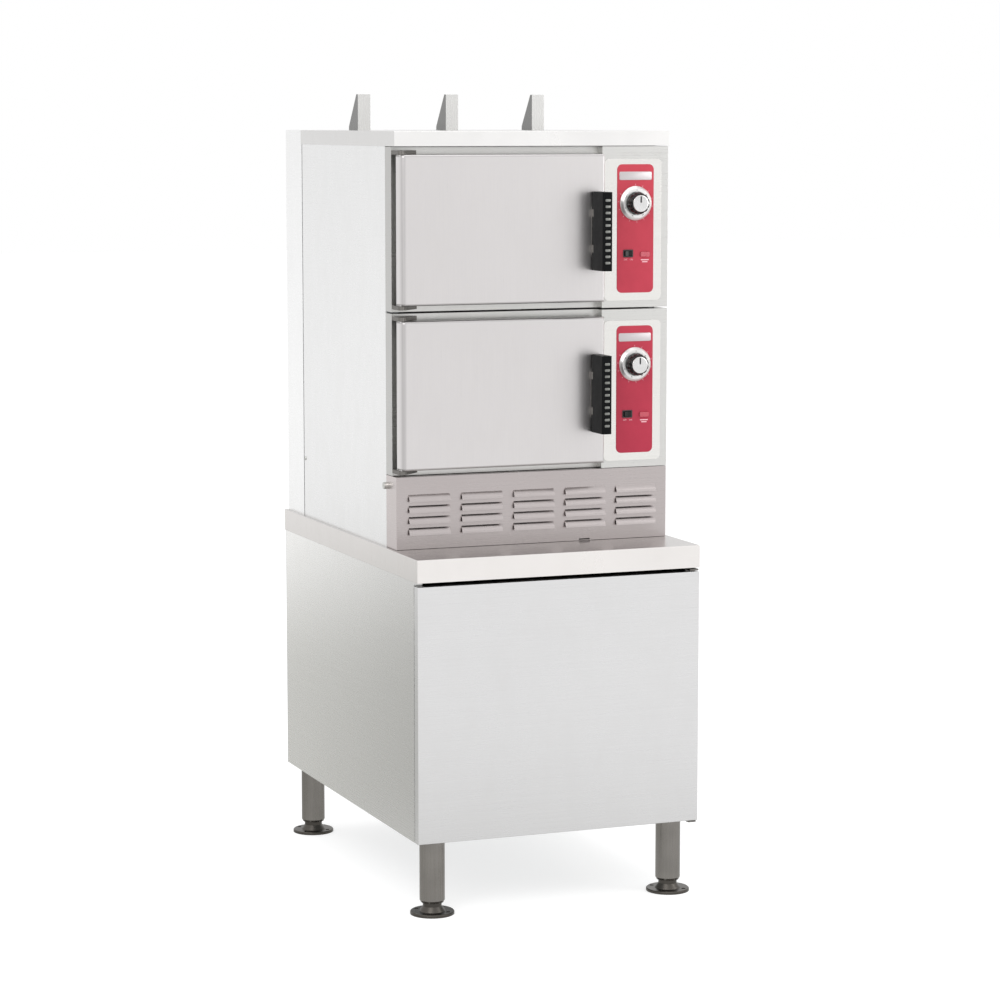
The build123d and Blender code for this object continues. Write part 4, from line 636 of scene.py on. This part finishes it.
def stage_material():
    """Pale floor that looks white to the camera, and to the metal's reflections shows a painted shade: grey
    round a point near the steamer, white further off.
    """
    mat = bpy.data.materials.new("studio_floor")
    mat.use_nodes = True
    tree = mat.node_tree
    path = tree.nodes.new("ShaderNodeLightPath")
    diffuse = tree.nodes["Principled BSDF"]
    diffuse.inputs["Roughness"].default_value = 1.0
    diffuse.inputs["Specular IOR Level"].default_value = 0.0
    grey = tree.nodes.new("ShaderNodeEmission")
    coord = tree.nodes.new("ShaderNodeTexCoord")
    away = tree.nodes.new("ShaderNodeVectorMath")
    away.operation = "DISTANCE"
    away.inputs[1].default_value = SHADE_CENTRE
    # Painted shade for reflections: grey within about a metre of SHADE_CENTRE, white beyond about four
    # metres.
    near = tree.nodes.new("ShaderNodeValToRGB")
    set_stops(near, ((0.10, (0.55, 0.55, 0.53)), (0.40, (0.99, 0.99, 0.99))))
    scale = tree.nodes.new("ShaderNodeMath")
    scale.operation = "MULTIPLY"
    scale.inputs[1].default_value = 0.1
    tree.links.new(coord.outputs["Object"], away.inputs[0])
    tree.links.new(away.outputs["Value"], scale.inputs[0])
    tree.links.new(scale.outputs[0], near.inputs["Fac"])
    tree.links.new(near.outputs["Color"], grey.inputs["Color"])
    grey.inputs["Strength"].default_value = 1.0
    glow = tree.nodes.new("ShaderNodeEmission")
    glow.inputs["Strength"].default_value = GLOW_STRENGTH
    lit = tree.nodes.new("ShaderNodeAddShader")
    diffuse.inputs["Base Color"].default_value = (0.5, 0.5, 0.5, 1)
    tree.links.new(diffuse.outputs[0], lit.inputs[0])
    tree.links.new(glow.outputs[0], lit.inputs[1])
    mix = tree.nodes.new("ShaderNodeMixShader")
    tree.links.new(path.outputs["Is Glossy Ray"], mix.inputs[0])
    tree.links.new(lit.outputs[0], mix.inputs[1])
    tree.links.new(grey.outputs[0], mix.inputs[2])
    tree.links.new(mix.outputs[0], tree.nodes["Material Output"].inputs["Surface"])
    return mat


def studio_world():
    """Surroundings that are white to the camera, and pale grey to white upwards for all other light."""
    world = bpy.data.worlds.new("studio")
    world.use_nodes = True
    tree = world.node_tree
    background = tree.nodes["Background"]
    background.inputs["Strength"].default_value = 1.0
    white = tree.nodes.new("ShaderNodeBackground")
    white.inputs["Color"].default_value = (1, 1, 1, 1)
    white.inputs["Strength"].default_value = 1.0
    sky = tree.nodes.new("ShaderNodeTexCoord")
    split = tree.nodes.new("ShaderNodeSeparateXYZ")
    ramp = tree.nodes.new("ShaderNodeValToRGB")
    set_stops(ramp, ((0.0, (0.90, 0.90, 0.90)), (0.6, (1.0, 1.0, 1.0))))
    path = tree.nodes.new("ShaderNodeLightPath")
    mix = tree.nodes.new("ShaderNodeMixShader")
    tree.links.new(sky.outputs["Generated"], split.inputs[0])
    tree.links.new(split.outputs["Z"], ramp.inputs["Fac"])
    tree.links.new(ramp.outputs["Color"], background.inputs["Color"])
    tree.links.new(path.outputs["Is Camera Ray"], mix.inputs[0])
    tree.links.new(background.outputs[0], mix.inputs[1])
    tree.links.new(white.outputs[0], mix.inputs[2])
    tree.links.new(mix.outputs[0], tree.nodes["World Output"].inputs["Surface"])
    return world


floor_mesh = bpy.data.meshes.new("studio_floor")
floor_mesh.from_pydata([(-FLOOR_HALF, -FLOOR_HALF, 0), (FLOOR_HALF, -FLOOR_HALF, 0),
                        (FLOOR_HALF, FLOOR_HALF, 0), (-FLOOR_HALF, FLOOR_HALF, 0)], [], [(0, 1, 2, 3)])
floor = bpy.data.objects.new("studio_floor", floor_mesh)
floor.location = (0, 0, -FLOOR_DROP)
floor_mesh.materials.append(stage_material())
SCENE.collection.objects.link(floor)
SCENE.world = studio_world()


def area_light(name, place, target, size, power):
    """A soft square light aimed at a point."""
    data = bpy.data.lights.new(name, "AREA")
    data.shape = "RECTANGLE"
    data.size, data.size_y = size
    data.energy = power
    obj = bpy.data.objects.new(name, data)
    obj.location = place
    obj.rotation_euler = (Vector(target) - Vector(place)).to_track_quat("-Z", "Y").to_euler()
    SCENE.collection.objects.link(obj)


area_light("key_light", (-2.6, -3.2, 3.4), STEAMER_MIDDLE, (2.6, 2.6), 70)
area_light("fill_light", (3.4, -2.6, 2.2), STEAMER_MIDDLE, (2.4, 2.8), 40)
area_light("top_light", (0.2, 0.4, 4.6), (0, 0, 0), (3.4, 3.4), 30)

camera = bpy.data.cameras.new("camera")
camera.sensor_width = CAMERA_SENSOR
camera.lens = CAMERA_LENS
camera.clip_end = CAMERA_REACH
camera_obj = bpy.data.objects.new("camera", camera)
camera_obj.location = CAMERA_PLACE
camera_obj.rotation_euler = CAMERA_TURN
SCENE.collection.objects.link(camera_obj)
SCENE.camera = camera_obj
